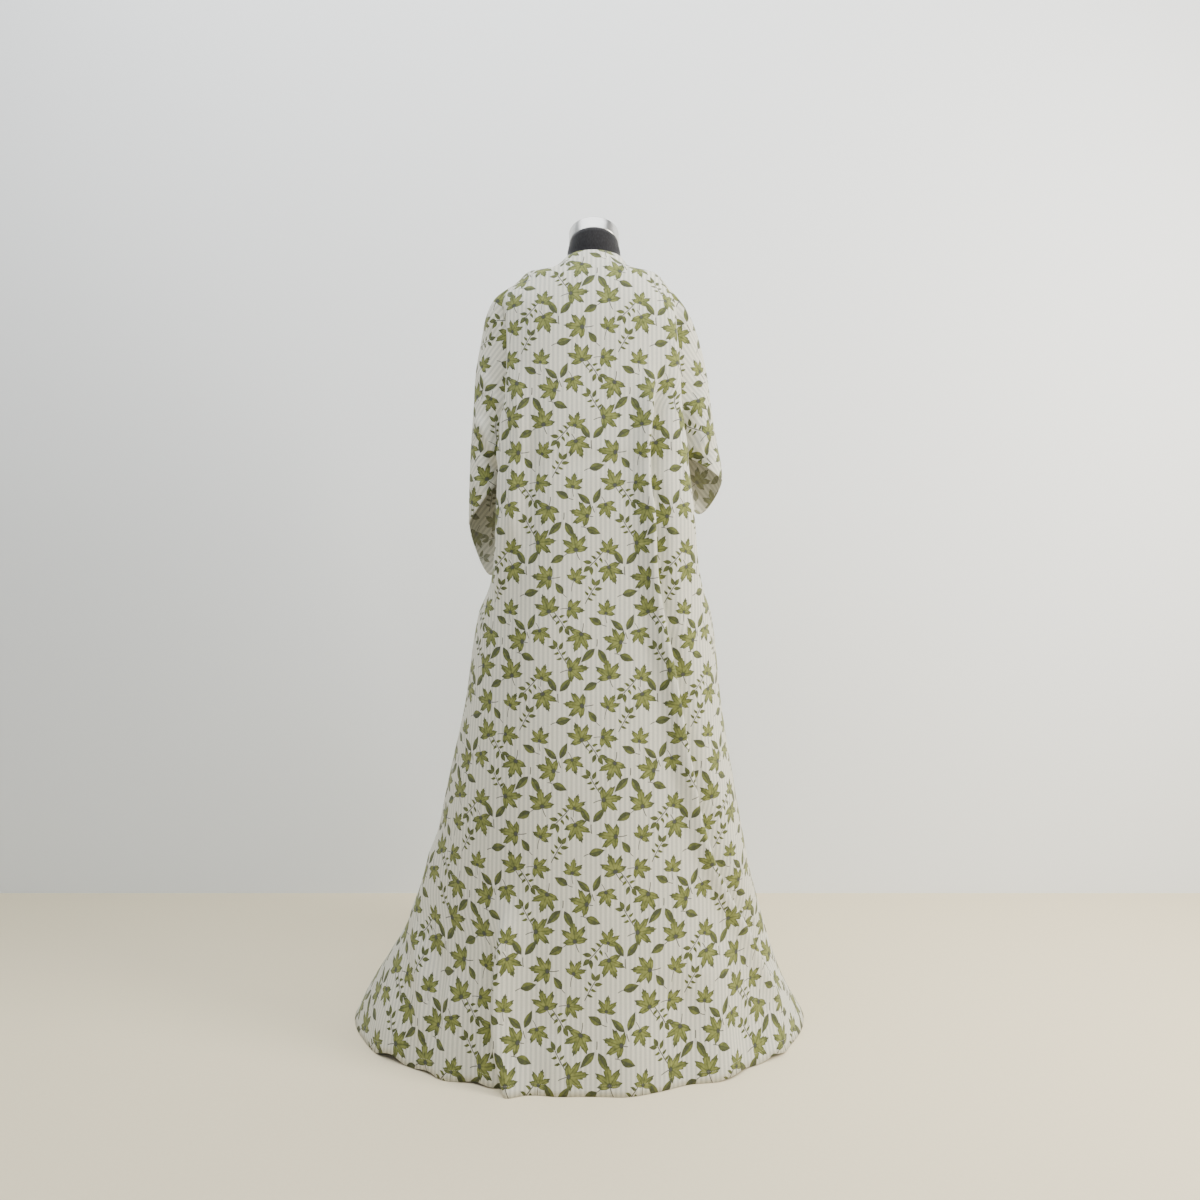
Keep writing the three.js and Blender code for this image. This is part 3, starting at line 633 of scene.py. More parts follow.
# The charts of one repeat, a row for each cell from the lower left: the motif's middle from the
# cell's middle, in millimetres, the turn of its tip from upright, in degrees, and its length.
LEAF_CHART = [
    ("maple", -4, 3, 10, 34), ("maple", -1, -3, 344, 26), ("maple", 2, 4, 276, 34),
    ("maple", 6, -2, 74, 33), ("maple", -5, 4, 196, 27), ("maple", 3, -4, 158, 34),
    ("maple", -6, 0, 352, 26), ("maple", 4, 5, 22, 33), ("maple", -2, -4, 262, 28),
    ("maple", 3, 3, 202, 33), ("maple", -4, -3, 84, 34), ("maple", 1, 2, 330, 26),
]
SMALL_CHART = [
    ("oval", -4, 2, 118, 30), ("sprig", 3, -2, 134, 37), ("pair", -3, 3, 356, 36),
    ("pair", 4, 0, 172, 38), ("oval", -2, -4, 248, 30), ("sprig", 0, 3, 28, 35),
    ("oval", 5, 3, 62, 29), ("pair", -5, -3, 12, 34), ("sprig", 2, 2, 212, 36),
    ("sprig", -3, 0, 326, 34), ("oval", 4, -3, 284, 31), ("oval", -1, 4, 36, 27),
]
KINDS = ("maple", "oval", "pair", "sprig")


def chart_ramp(tree, place, rows):
    """Reads the row of a chart that a place from 0 to 1 falls in, as three numbers."""
    row = tree.stops(place, [(i / len(rows), row) for i, row in enumerate(rows)], "CONSTANT")
    return tree.node("ShaderNodeSeparateColor", [row]).node.outputs


def charted(chart, shift):
    """Builds the look-up of a chart: coordinates in its motif's own length, and its kind."""

    def build(tree, given):
        width, height = CELL["width"], CELL["height"]
        grain = tree.vector("ADD", given["Grain"], (shift * width, shift * height, 0))
        u, v = tree.parts(grain)
        column = tree.math("FLOOR", tree.math("DIVIDE", u, width))
        row = tree.math("FLOOR", tree.math("DIVIDE", v, height))
        climb = tree.math("FLOOR", tree.math("DIVIDE", row, CELL["rows"]))
        inside = tree.math("FLOORED_MODULO", tree.math("ADD", column, climb), CELL["columns"])
        index = tree.math(
            "MULTIPLY_ADD", tree.math("FLOORED_MODULO", row, CELL["rows"]), CELL["columns"], inside
        )
        place = tree.math("DIVIDE", tree.math("ADD", index, 0.5), len(chart))
        spots = chart_ramp(tree, place, [
            (x / CHART_REACH + 0.5, y / CHART_REACH + 0.5, turn / 360) for _, x, y, turn, _ in chart
        ])
        sorts = chart_ramp(tree, place, [
            (length / CHART_LENGTH, KINDS.index(kind) / len(KINDS), 0) for kind, *_, length in chart
        ])
        reach = CHART_REACH * MM
        x = tree.math("MULTIPLY_ADD", column, -width, tree.math("SUBTRACT", u, width / 2))
        y = tree.math("MULTIPLY_ADD", row, -height, tree.math("SUBTRACT", v, height / 2))
        x = tree.math("MULTIPLY_ADD", spots[0], -reach, tree.math("ADD", x, reach / 2))
        y = tree.math("MULTIPLY_ADD", spots[1], -reach, tree.math("ADD", y, reach / 2))
        turned = tree.node(
            "ShaderNodeVectorRotate",
            {
                "Vector": tree.node("ShaderNodeCombineXYZ", [x, y]),
                "Angle": tree.math("MULTIPLY", spots[2], -2 * math.pi),
            },
            rotation_type="Z_AXIS",
        )
        size = tree.math("DIVIDE", 1 / (CHART_LENGTH * MM), sorts[0])
        local = tree.node("ShaderNodeVectorMath", {0: turned, "Scale": size}, operation="SCALE")
        local = tree.vector("ADD", local, (0, FOOT_TO_MIDDLE, 0))
        return [local, tree.math("MULTIPLY", sorts[1], len(KINDS))]

    return build


def stem_cover(tree, x, y, length, bend):
    """A thin bent line down from the leaf's foot."""
    bent = tree.math("MULTIPLY", tree.math("MULTIPLY", y, y), bend)
    off = tree.math("ABSOLUTE", tree.math("SUBTRACT", x, bent))
    line = tree.ramp(off, STEM_CORE, STEM_EDGE, 1, 0)
    below = tree.math("LESS_THAN", y, 0.0)
    above = tree.math("GREATER_THAN", y, length)
    return tree.math("MULTIPLY", line, tree.math("MULTIPLY", below, above))


def shaded(tree, tone, *shades):
    """A tone made darker by each shade, but never as dark as a stem."""
    for shade in shades:
        tone = tree.math("SUBTRACT", tone, shade)
    return tree.math("MAXIMUM", tone, DARKEST_TONE)


def maple_leaf(tree, given):
    """A lobed leaf with veins, a darker rim and foot, and a stem."""
    x, y = tree.parts(given["Place"])
    reach = tree.vector("LENGTH", given["Place"], output=1)
    turn = tree.math("DIVIDE", tree.math("ABSOLUTE", tree.math("ARCTAN2", x, y)), math.pi)
    edge = tree.curve(turn, MAPLE_OUTLINE)
    leaf = tree.ramp(tree.math("SUBTRACT", edge, reach), -LEAF_EDGE / 2, LEAF_EDGE / 2)
    off_vein = tree.math("MULTIPLY", tree.curve(turn, MAPLE_VEINS), reach)
    vein = tree.ramp(off_vein, 0.0, 0.06, 0.2, 0)
    rim = tree.ramp(tree.math("DIVIDE", reach, edge), 0.6, 1.0, 0, 0.28)
    foot = tree.ramp(reach, 0.02, 0.18, 0.7, 0)
    tone = shaded(tree, tree.math("MULTIPLY_ADD", given["Wash"], 0.85, 0.32), vein, rim, foot)
    stem = stem_cover(tree, x, y, length=-0.85, bend=0.35)
    return [tree.math("MAXIMUM", leaf, stem), tree.math("MULTIPLY", tone, leaf)]


def oval_cover(tree, x, y, half_width):
    """How far a point lies inside a pointed oval that runs from 0 to 1 along y."""
    width = tree.math("MULTIPLY", tree.curve(y, OVAL_OUTLINE), half_width)
    inside = tree.math("SUBTRACT", width, tree.math("ABSOLUTE", x))
    return tree.ramp(inside, 0.0, LEAF_EDGE)


def oval_tone(tree, x, y, wash):
    """Light to one side of the midrib, darker to the other and at both ends."""
    from_middle = tree.math("ABSOLUTE", tree.math("SUBTRACT", y, 0.5))
    midrib = tree.ramp(tree.math("ABSOLUTE", x), 0.0, 0.035, 0.25, 0)
    dark_side = tree.ramp(x, -0.08, 0.08, 0, 0.16)
    ends = tree.ramp(from_middle, 0.25, 0.5, 0, 0.22)
    return shaded(tree, tree.math("MULTIPLY_ADD", wash, 0.7, 0.2), midrib, dark_side, ends)


def oval_leaf(tree, given):
    """A single pointed oval on a short stem."""
    x, y = tree.parts(given["Place"])
    leaf = oval_cover(tree, x, y, half_width=0.26)
    stem = stem_cover(tree, x, y, length=-0.3, bend=0.6)
    tone = tree.math("MULTIPLY", oval_tone(tree, x, y, given["Wash"]), leaf)
    return [tree.math("MAXIMUM", leaf, stem), tone]


def turned_aside(tree, x, y, degrees):
    """Coordinates of a leaf that leans out to either side of its stem."""
    lean = math.radians(degrees)
    out = tree.math("ABSOLUTE", x)
    across = tree.math("MULTIPLY_ADD", out, math.cos(lean), tree.math("MULTIPLY", y, -math.sin(lean)))
    along = tree.math("MULTIPLY_ADD", out, math.sin(lean), tree.math("MULTIPLY", y, math.cos(lean)))
    return across, along


def leaf_pair(tree, given):
    """Two ovals that spread from one stem."""
    x, y = tree.parts(given["Place"])
    across, along = turned_aside(tree, x, y, degrees=37)
    along = tree.math("SUBTRACT", along, 0.12)
    leaf = oval_cover(tree, across, along, half_width=0.2)
    stem = stem_cover(tree, x, y, length=-0.45, bend=0.3)
    tone = tree.math("MULTIPLY", oval_tone(tree, across, along, given["Wash"]), leaf)
    return [tree.math("MAXIMUM", leaf, stem), tone]


def leaf_sprig(tree, given):
    """Leaflets to both sides of a stem, by turns, and one at its tip."""
    step, leaflet, count = 0.32, 0.48, 3
    tip = step * (count - 0.6)
    x, y = tree.parts(given["Place"])
    shifted = tree.math("MULTIPLY_ADD", tree.math("SIGN", x), step * 0.25, y)
    row = tree.math("ROUND", tree.math("DIVIDE", shifted, step))
    row = tree.math("MINIMUM", tree.math("MAXIMUM", row, 0.0), count - 1.0)
    near = tree.math("MULTIPLY_ADD", row, -step, shifted)
    across, along = turned_aside(tree, x, near, degrees=52)
    across = tree.math("DIVIDE", across, leaflet)
    along = tree.math("DIVIDE", tree.math("SUBTRACT", along, 0.05), leaflet)
    sides = oval_cover(tree, across, along, half_width=0.24)
    past_tip = tree.math("SUBTRACT", y, tip)
    tip_x, tip_y = (tree.math("DIVIDE", value, leaflet) for value in (x, past_tip))
    leaf = tree.math("MAXIMUM", sides, oval_cover(tree, tip_x, tip_y, half_width=0.27))
    stem = stem_cover(tree, x, past_tip, length=-1.1, bend=0.06)
    tone = tree.math("MULTIPLY_ADD", given["Wash"], 0.6, 0.15)
    return [tree.math("MAXIMUM", leaf, stem), tree.math("MULTIPLY", tone, leaf)]


def leaf_print(tree, given):
    """Both layers of the print: how far they cover, and their tone."""
    wash = tree.node(
        "ShaderNodeTexNoise", {"Vector": given["Grain"], "Scale": WASH_SCALE, "Detail": 2}
    )
    leaves = tree.group("leaf chart", Grain=given["Grain"])
    small = tree.group("small chart", Grain=given["Grain"])
    maple = tree.group("maple motif", Place=leaves["Place"], Wash=wash)
    cover, tone = maple["Cover"], maple["Tone"]
    for index, kind in enumerate(KINDS[1:], 1):
        motif = tree.group(kind + " motif", Place=small["Place"], Wash=wash)
        chosen = tree.math("COMPARE", small["Kind"], index, 0.5)
        small_cover = tree.math("MULTIPLY", motif["Cover"], chosen)
        small_tone = tree.math("MULTIPLY", motif["Tone"], small_cover)
        cover = tree.math("MAXIMUM", cover, small_cover)
        tone = tree.math("MAXIMUM", tone, small_tone)
    return [cover, tone]


WARP_SCALE, WEFT_SCALE = (1600, 110, 1), (90, 1300, 1)


def striped_weave(tree, given):
    """Fine lengthwise stripes and uneven threads: a shade of the ground, and a height."""
    u = tree.parts(given["Grain"])[0]
    across = tree.math("DIVIDE", tree.math("PINGPONG", u, given["Stripe"]), given["Stripe"])
    stripe = tree.ramp(across, 0.38, 0.62)
    warp = tree.node("ShaderNodeMapping", {"Vector": given["Grain"], "Scale": WARP_SCALE})
    weft = tree.node("ShaderNodeMapping", {"Vector": given["Grain"], "Scale": WEFT_SCALE})
    threads = [
        tree.node("ShaderNodeTexNoise", {"Vector": way, "Scale": 1, "Detail": 2})
        for way in (warp, weft)
    ]
    slub = tree.math("MULTIPLY", tree.math("ADD", *threads), 0.5)
    return [stripe, slub]


def fine_grain(tree, given):
    """Noise in the object's own coordinates, stretched to each axis's own scale."""
    place = tree.node("ShaderNodeTexCoord", output=3)
    scaled = tree.vector("MULTIPLY", place, given["Scale"])
    return [tree.node("ShaderNodeTexNoise", {"Vector": scaled, "Scale": 1, "Detail": 3})]


NUMBER, VECTOR = "NodeSocketFloat", "NodeSocketVector"
CHART_SOCKETS = {"Grain": VECTOR}, {"Place": VECTOR, "Kind": NUMBER}
MOTIF_SOCKETS = {"Place": VECTOR, "Wash": NUMBER}, {"Cover": NUMBER, "Tone": NUMBER}
# Each node group's inputs, outputs and the function that builds it.
GROUPS = {
    "leaf chart": (*CHART_SOCKETS, charted(LEAF_CHART, 0)),
    "small chart": (*CHART_SOCKETS, charted(SMALL_CHART, 0.5)),
    "maple motif": (*MOTIF_SOCKETS, maple_leaf),
    "oval motif": (*MOTIF_SOCKETS, oval_leaf),
    "pair motif": (*MOTIF_SOCKETS, leaf_pair),
    "sprig motif": (*MOTIF_SOCKETS, leaf_sprig),
    "leaf print": ({"Grain": VECTOR}, {"Cover": NUMBER, "Tone": NUMBER}, leaf_print),
    "striped weave": (
        {"Grain": VECTOR, "Stripe": NUMBER}, {"Stripe": NUMBER, "Slub": NUMBER}, striped_weave
    ),
    "fine grain": ({"Scale": VECTOR}, {"Grain": NUMBER}, fine_grain),
}


# ------------------------------------------------------------------ finishes
def new_material(name, base, roughness, **values):
    """A material with its Principled BSDF set, and a Tree to add to."""
    made = bpy.data.materials.new(name)
    made.use_nodes = True
    shader = made.node_tree.nodes["Principled BSDF"]
    shader.inputs["Base Color"].default_value = (*base, 1)
    shader.inputs["Roughness"].default_value = roughness
    for label, value in values.items():
        shader.inputs[label.replace("_", " ")].default_value = value
    return made, Tree(made.node_tree), shader.inputs


def bump(tree, height, strength, distance, inputs):
    """Raises the surface by a height."""
    made = tree.node("ShaderNodeBump", {"Strength": strength, "Distance": distance, "Height": height})
    tree.feed(inputs["Normal"], made)


STRIPE = 0.0044  # the width of one stripe


def cotton(name, looks, print_share, darker):
    """Thin plain-woven cotton with its stripes and leaf print, strong on the right side only."""
    made, tree, inputs = new_material(
        name, looks.ground, 0.82, Sheen_Weight=0.12, Sheen_Roughness=0.5, Specular_IOR_Level=0.25
    )
    grain = tree.node("ShaderNodeUVMap", uv_map="grain")
    weave = tree.group("striped weave", Grain=grain, Stripe=STRIPE)
    pressed = tree.group("leaf print", Grain=grain)
    ground = tree.blend(weave["Stripe"], (*looks.ground, 1), (*looks.stripe, 1))
    inks = tree.stops(pressed["Tone"], [
        (0.0, looks.stem_ink), (0.09, looks.stem_ink), (0.34, looks.dark_ink),
        (0.6, looks.mid_ink), (0.9, looks.light_ink),
    ])
    cover = tree.math("MULTIPLY", pressed["Cover"], print_share)
    colour = tree.blend(cover, ground, inks)
    # darker below 1 darkens the whole cloth: a painted shade, used on the wrong side only
    uneven = tree.ramp(weave["Slub"], 0.35, 0.65, 0.93 * darker, 1.04 * darker)
    shade = tree.node("ShaderNodeCombineColor", [uneven, uneven, uneven])
    tree.feed(inputs["Base Color"], tree.blend(1.0, colour, shade, "MULTIPLY"))
    bump(tree, weave["Slub"], 0.25, 0.0004, inputs)
    return made


def cotton_right_side(looks):
    """The face that the print is pressed on."""
    return cotton("leaf_cotton", looks, 0.97, 1.0)


def cotton_wrong_side(looks):
    """The back of the cloth, where the print shows through more faintly; it is also a little darker,
    a painted shade for the insides of the sleeves and cuffs.
    """
    return cotton("leaf_cotton_wrong_side", looks, 0.65, 0.97)


def toned(base, factor, offset=0.0):
    """A lighter or darker tone of a colour."""
    return [min(1, factor * c + offset) for c in base]


def grained(name, base, tone, roughness, scale, spread=None, **values):
    """A material whose colour varies from base to tone with a fine grain."""
    made, tree, inputs = new_material(name, base, roughness, **values)
    grain = tree.group("fine grain", Scale=scale)["Grain"]
    share = tree.ramp(grain, *spread) if spread else grain
    tree.feed(inputs["Base Color"], tree.blend(share, (*base, 1), (*tone, 1)))
    return made, tree, inputs, grain


def unevenly_dull(tree, inputs, scale, *spread):
    """Roughness that changes slowly over the piece."""
    dull = tree.group("fine grain", Scale=scale)["Grain"]
    tree.feed(inputs["Roughness"], tree.ramp(dull, *spread))


def black_jersey(looks):
    """Black knitted jersey stretched over padding: fine wales, a little lint and a soft sheen."""
    made, tree, inputs, wales = grained(
        "black_jersey", looks.jersey, toned(looks.jersey, 1.9, 0.004), 0.88, (900, 900, 160),
        (0.3, 0.75), Sheen_Weight=0.2, Sheen_Roughness=0.4, Specular_IOR_Level=0.3,
    )
    unevenly_dull(tree, inputs, (26, 26, 18), 0.3, 0.7, 0.8, 0.95)
    bump(tree, wales, 0.5, 0.0006, inputs)
    return made


def brushed_cap_steel(looks):
    """Satin steel, brushed round its rim."""
    made, tree, inputs, brushed = grained(
        "brushed_cap_steel", looks.cap, toned(looks.cap, 1.12), 0.3, (40, 40, 1400),
        (0.35, 0.65), Metallic=1.0,
    )
    unevenly_dull(tree, inputs, (22, 22, 22), 0.3, 0.7, 0.27, 0.4)
    bump(tree, brushed, 0.2, 0.0003, inputs)
    return made


def powder_coat(looks):
    """Dark powder coat with an orange-peel skin."""
    made, tree, inputs, wear = grained(
        "powder_coat", looks.stand, toned(looks.stand, 1.5), 0.42, (14, 14, 14),
        Specular_IOR_Level=0.5,
    )
    tree.feed(inputs["Roughness"], tree.ramp(wear, 0.35, 0.7, 0.36, 0.52))
    skin = tree.group("fine grain", Scale=(700, 700, 700))["Grain"]
    bump(tree, skin, 0.25, 0.0004, inputs)
    return made


def pale_horn(looks):
    """Pale polished resin with cloudy streaks."""
    return grained(
        "pale_horn", looks.button, toned(looks.button, 0.62), 0.25, (180, 420, 90), (0.35, 0.7),
        Coat_Weight=0.3,
    )[0]


def sewing_cotton(looks):
    """Off-white sewing cotton."""
    made, tree, inputs, twist = grained(
        "sewing_cotton", looks.thread, toned(looks.thread, 0.8), 0.7, (1500, 1500, 1500),
        Sheen_Weight=0.2,
    )
    bump(tree, twist, 0.3, 0.0002, inputs)
    return made


def pale_floor(looks):
    """A plain floor with a faint unevenness of tone."""
    return grained(
        "pale_floor", looks.floor, toned(looks.floor, 1.06), 0.95, (160, 160, 160),
        Specular_IOR_Level=0.1,
    )[0]


def pale_wall(looks):
    """Matt paint on the near side only, so that the dress can be looked at from behind the wall."""
    made, tree, inputs = new_material("pale_wall", looks.wall, 0.9, Specular_IOR_Level=0.1)
    behind = tree.node("ShaderNodeNewGeometry").node.outputs["Backfacing"]
    tree.feed(inputs["Alpha"], tree.math("SUBTRACT", 1.0, behind))
    return made


FINISHES = {
    "leaf_cotton": cotton_right_side,
    "leaf_cotton_wrong_side": cotton_wrong_side,
    "black_jersey": black_jersey,
    "brushed_cap_steel": brushed_cap_steel,
    "powder_coat": powder_coat,
    "pale_horn": pale_horn,
    "sewing_cotton": sewing_cotton,
    "pale_floor": pale_floor,
    "pale_wall": pale_wall,
}


def material(name):
    """The finish of that name, made the first time it is asked for."""
    if name not in bpy.data.materials:
        FINISHES[name](bpy.context.scene.dress_looks)
    return bpy.data.materials[name]


# ------------------------------------------------------------------ pieces in general
def placed(name, mesh, *finishes):
    """An object in the scene, at the origin, with its materials."""
    piece = bpy.data.objects.new(name, mesh)
    bpy.context.scene.collection.objects.link(piece)
    for finish in finishes:
        mesh.materials.append(finish)
    return piece


def declare(piece, node=None):
    """Puts a piece on the one body, and hides the node that it stands for."""
    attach(piece, "root")
    if node:
        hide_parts(node)


def mesh_of(name, points, faces):
    """A smooth-shaded mesh."""
    mesh = bpy.data.meshes.new(name)
    mesh.from_pydata([tuple(point) for point in points], [], faces)
    mesh.update()
    mesh.polygons.foreach_set("use_smooth", [True] * len(mesh.polygons))
    return mesh


def ring_quads(rows, segments):
    """Quads between neighbouring rings of points."""
    quads = []
    for row in range(rows - 1):
        for step in range(segments):
            a, b = row * segments + step, row * segments + (step + 1) % segments
            quads.append((a, b, b + segments, a + segments))
    return quads


def turns(segments):
    """The angles round one ring."""
    return [2 * math.pi * step / segments for step in range(segments)]


def upright(normal):
    """The matrix that turns a body's own height to a normal."""
    return normal.to_track_quat("Z", "Y").to_matrix().to_4x4()


def lathe(name, outline, segments, place):
    """A closed turned body from its outline of radius and height, set by a matrix."""
    inside = outline[1:-1]
    points = [
        place @ Vector((radius * math.cos(turn), radius * math.sin(turn), height))
        for radius, height in inside for turn in turns(segments)
    ]
    faces = ring_quads(len(inside), segments)
    for (_, height), row, outward in ((outline[0], 0, -1), (outline[-1], len(inside) - 1, 1)):
        points.append(place @ Vector((0, 0, height)))
        for step in range(segments):
            a, b = row * segments + step, row * segments + (step + 1) % segments
            faces.append((a, b, len(points) - 1) if outward > 0 else (b, a, len(points) - 1))
    return mesh_of(name, points, faces)


# ------------------------------------------------------------------ the form
TORSO_COLUMNS = ("side", "sideZ", "back", "backZ", "front", "frontZ", "square")
TORSO = [
    (48, 1545, 48, 1563, 48, 1527, 2), (52, 1530, 51, 1536, 53, 1515, 2),
    (53.6, 1516, 53.4, 1517, 57.4, 1500, 2), (66, 1489.5, 64, 1492, 69, 1481, 2),
    (96, 1481.5, 80, 1462, 85, 1450, 2.1), (128, 1470, 92, 1425, 98, 1414, 2.3),
    (150, 1444, 99, 1388, 108, 1375, 2.4), (161, 1410, 103, 1350, 114, 1338, 2.4),
    (160, 1362, 104, 1312, 118, 1300, 2.3), (151, 1300, 102, 1262, 119, 1255, 2.2),
    (141, 1230, 97, 1205, 112, 1205, 2.2), (125, 1155, 88, 1145, 96, 1145, 2.1),
    (117, 1085, 84, 1085, 89, 1085, 2.1), (131, 1005, 98, 1005, 96, 1005, 2.1),
    (150, 925, 116, 925, 104, 925, 2.2), (158, 855, 121, 855, 106, 855, 2.2),
    (158, 806, 120, 806, 105, 806, 2.2), (152, 800, 114, 800, 99, 800, 2.2),
]
TORSO_STEPS = 4
TORSO_SEGMENTS = 144
CAP = {"radius": 49, "height": 28, "dome": 5, "bevel": 3, "z": 1545, "slope": 0.375, "seat": 0.3}
CAP_SEGMENTS = 128
BEVEL_STEPS = 6
DOME_STEPS = 10


def torso_mesh():
    """The padded torso through its sections, closed at the neck and at the foot."""
    numbered = [(index, *row) for index, row in enumerate(TORSO)]
    ring = tracks(numbered, ("row", *TORSO_COLUMNS))
    points = []
    rows = (len(TORSO) - 1) * TORSO_STEPS + 1
    for row in range(rows):
        at = row / TORSO_STEPS
        side, side_z, back, back_z, front, front_z, square = (ring[c](at) for c in TORSO_COLUMNS)
        tilt, sag = (back_z - front_z) / 2, (back_z + front_z) / 2 - side_z
        for turn in turns(TORSO_SEGMENTS):
            depth = back if math.cos(turn) > 0 else front
            x, y = round_point(side, depth, square, turn)
            backward = y / depth
            z = side_z + tilt * backward + sag * backward**2
            points.append(Vector((math.copysign(x, math.sin(turn)), -y, z)) * MM)
    faces = [(a, above_a, above_b, b) for a, b, above_b, above_a in ring_quads(rows, TORSO_SEGMENTS)]
    last = (rows - 1) * TORSO_SEGMENTS
    faces.append(tuple(range(TORSO_SEGMENTS)))
    faces.append(tuple(last + step for step in reversed(range(TORSO_SEGMENTS))))
    return mesh_of("form_torso_jersey", points, faces)


def slanted_seat():
    """Puts a turned body's foot on the slanted top of the neck."""
    normal = Vector((0, CAP["slope"], 1)).normalized()
    foot = Vector((0, 0, CAP["z"])) + normal * CAP["seat"]
    return Matrix.Translation(foot * MM) @ upright(normal)


def cap_outline():
    """Half of the cap's section, from the middle of its foot to the middle of its dome."""
    radius, height, dome, bevel = (CAP[key] * MM for key in ("radius", "height", "dome", "bevel"))
    flat = radius - bevel
    quarter = [step / BEVEL_STEPS * math.pi / 2 for step in range(BEVEL_STEPS + 1)]
    outline = [(0, 0), (flat, 0)]
    outline += [
        (radius - bevel * (1 - math.sin(turn)), bevel * (1 - math.cos(turn))) for turn in quarter
    ]
    outline += [
        (radius - bevel * (1 - math.cos(turn)), height - bevel * (1 - math.sin(turn)))
        for turn in quarter
    ]
    for step in range(1, DOME_STEPS):
        out = flat * (1 - step / DOME_STEPS)
        outline.append((out, height + dome * (1 - (out / flat) ** 2)))
    outline.append((0, height + dome))
    return outline


# ------------------------------------------------------------------ the neck fastening
BUTTON = {"radius": 5.5, "height": 3, "aside": 9, "down": 10, "clearance": 0.7}
BUTTON_SEGMENTS = 48
# Radius and height of the button's section, as shares of its own.
BUTTON_OUTLINE = [
    (0, 0), (0.6, 0), (0.88, 0.06), (0.97, 0.2), (1, 0.4), (0.985, 0.65), (0.94, 0.88),
    (0.86, 0.99), (0.78, 0.97), (0.7, 0.84), (0.58, 0.74), (0.3, 0.7), (0, 0.7),
]
LOOP_THICK = 1.5
LOOP_SIDES = 12
LOOP_STEPS = 16
LOOP_END = 5     # how far past the slit's edge the loop is sewn down
LOOP_FOOT = 2.2  # half the distance between its two ends
PROBE = {"down": 10, "share": 0.1, "beside": 0.15}  # short steps that measure the cloth's lie


def front_at(aside, down, lift):
    """A point of the front just below the neckline, lifted along its normal, and that normal."""
    side = "left" if aside < 0 else "right"

    def at(along, share):
        return yoke_point(along, side, "front", "panel", share)

    along = down * PROBE["down"] / (at(0, 0) - at(PROBE["down"], 0)).length
    share = abs(aside) * PROBE["share"] / (at(along, 0) - at(along, PROBE["share"])).length
    point = at(along, share)
    lower = at(along + PROBE["down"], share) - point
    beside = (at(along, share + PROBE["beside"]) - point) * SIDES[side]
    normal = beside.cross(lower).normalized()
    return (point + normal * lift) * MM, normal


def button_mesh():
    """A round button with a sunk middle, lying on the cloth."""
    radius, height = BUTTON["radius"] * MM, BUTTON["height"] * MM
    point, normal = front_at(-BUTTON["aside"], BUTTON["down"], BUTTON["clearance"])
    outline = [(r * radius, h * height) for r, h in BUTTON_OUTLINE]
    place = Matrix.Translation(point) @ upright(normal)
    return lathe("neck_button_horn", outline, BUTTON_SEGMENTS, place)


def tube(name, points, radius, sides):
    """A closed round cord through the points, its section turned as little as can be."""
    verts = []
    up = (points[1] - points[0]).orthogonal().normalized()
    for index, point in enumerate(points):
        ahead = points[min(index + 1, len(points) - 1)] - points[max(index - 1, 0)]
        ahead.normalize()
        up = (up - ahead * up.dot(ahead)).normalized()
        aside = ahead.cross(up)
        for turn in turns(sides):
            verts.append(point + (up * math.cos(turn) + aside * math.sin(turn)) * radius)
    faces = ring_quads(len(points), sides)
    last = (len(points) - 1) * sides
    faces.append(tuple(reversed(range(sides))))
    faces.append(tuple(last + step for step in range(sides)))
    return mesh_of(name, verts, faces)


def loop_route():
    """Out from one edge of the slit, round the button and back."""
    reach = BUTTON["radius"] + LOOP_THICK
    lift = BUTTON["clearance"] + LOOP_THICK / 2
    end = SLIT_WIDTH + LOOP_END
    leg = [(end, LOOP_FOOT), (end * 0.45, reach * 0.42), (0, reach * 0.7)]
    half_turn = (mix(-0.5, 0.5, step / LOOP_STEPS) * math.pi for step in range(LOOP_STEPS + 1))
    route = [(aside, -below) for aside, below in leg]
    route += [
        (-BUTTON["aside"] - math.cos(turn) * reach, math.sin(turn) * reach) for turn in half_turn
    ]
    route += reversed(leg)
    return [front_at(aside, BUTTON["down"] + below, lift)[0] for aside, below in route]


# ------------------------------------------------------------------ stitching
# The stretch and parts of the cloth that a line of stitches runs on, and its distance in
# millimetres from the neck, hem or cuff.
STITCH_LINES = {
    "hem": ("skirt", ["panel"], 18),
    "cuff": ("cuff", ["layer"], 14),
    "neck": ("yoke", ["panel", "layer"], 5),
}
# Millimetres from neck to underarm, and from there to the hem and to the cuff.
STRETCH_LENGTHS = {"yoke": OVERARM, "skirt": SKIRT[-1][0], "cuff": 130}
STITCH = {"Pitch": 0.0032, "Length": 0.0023, "Thickness": 0.0005}
STITCH_SHARE = 0.72  # of the pitch that a stitch fills
STITCH_LIFT = 0.15
STITCH_PROBE = {"down": 0.004, "across": 0.01}  # short steps that measure the cloth's lie


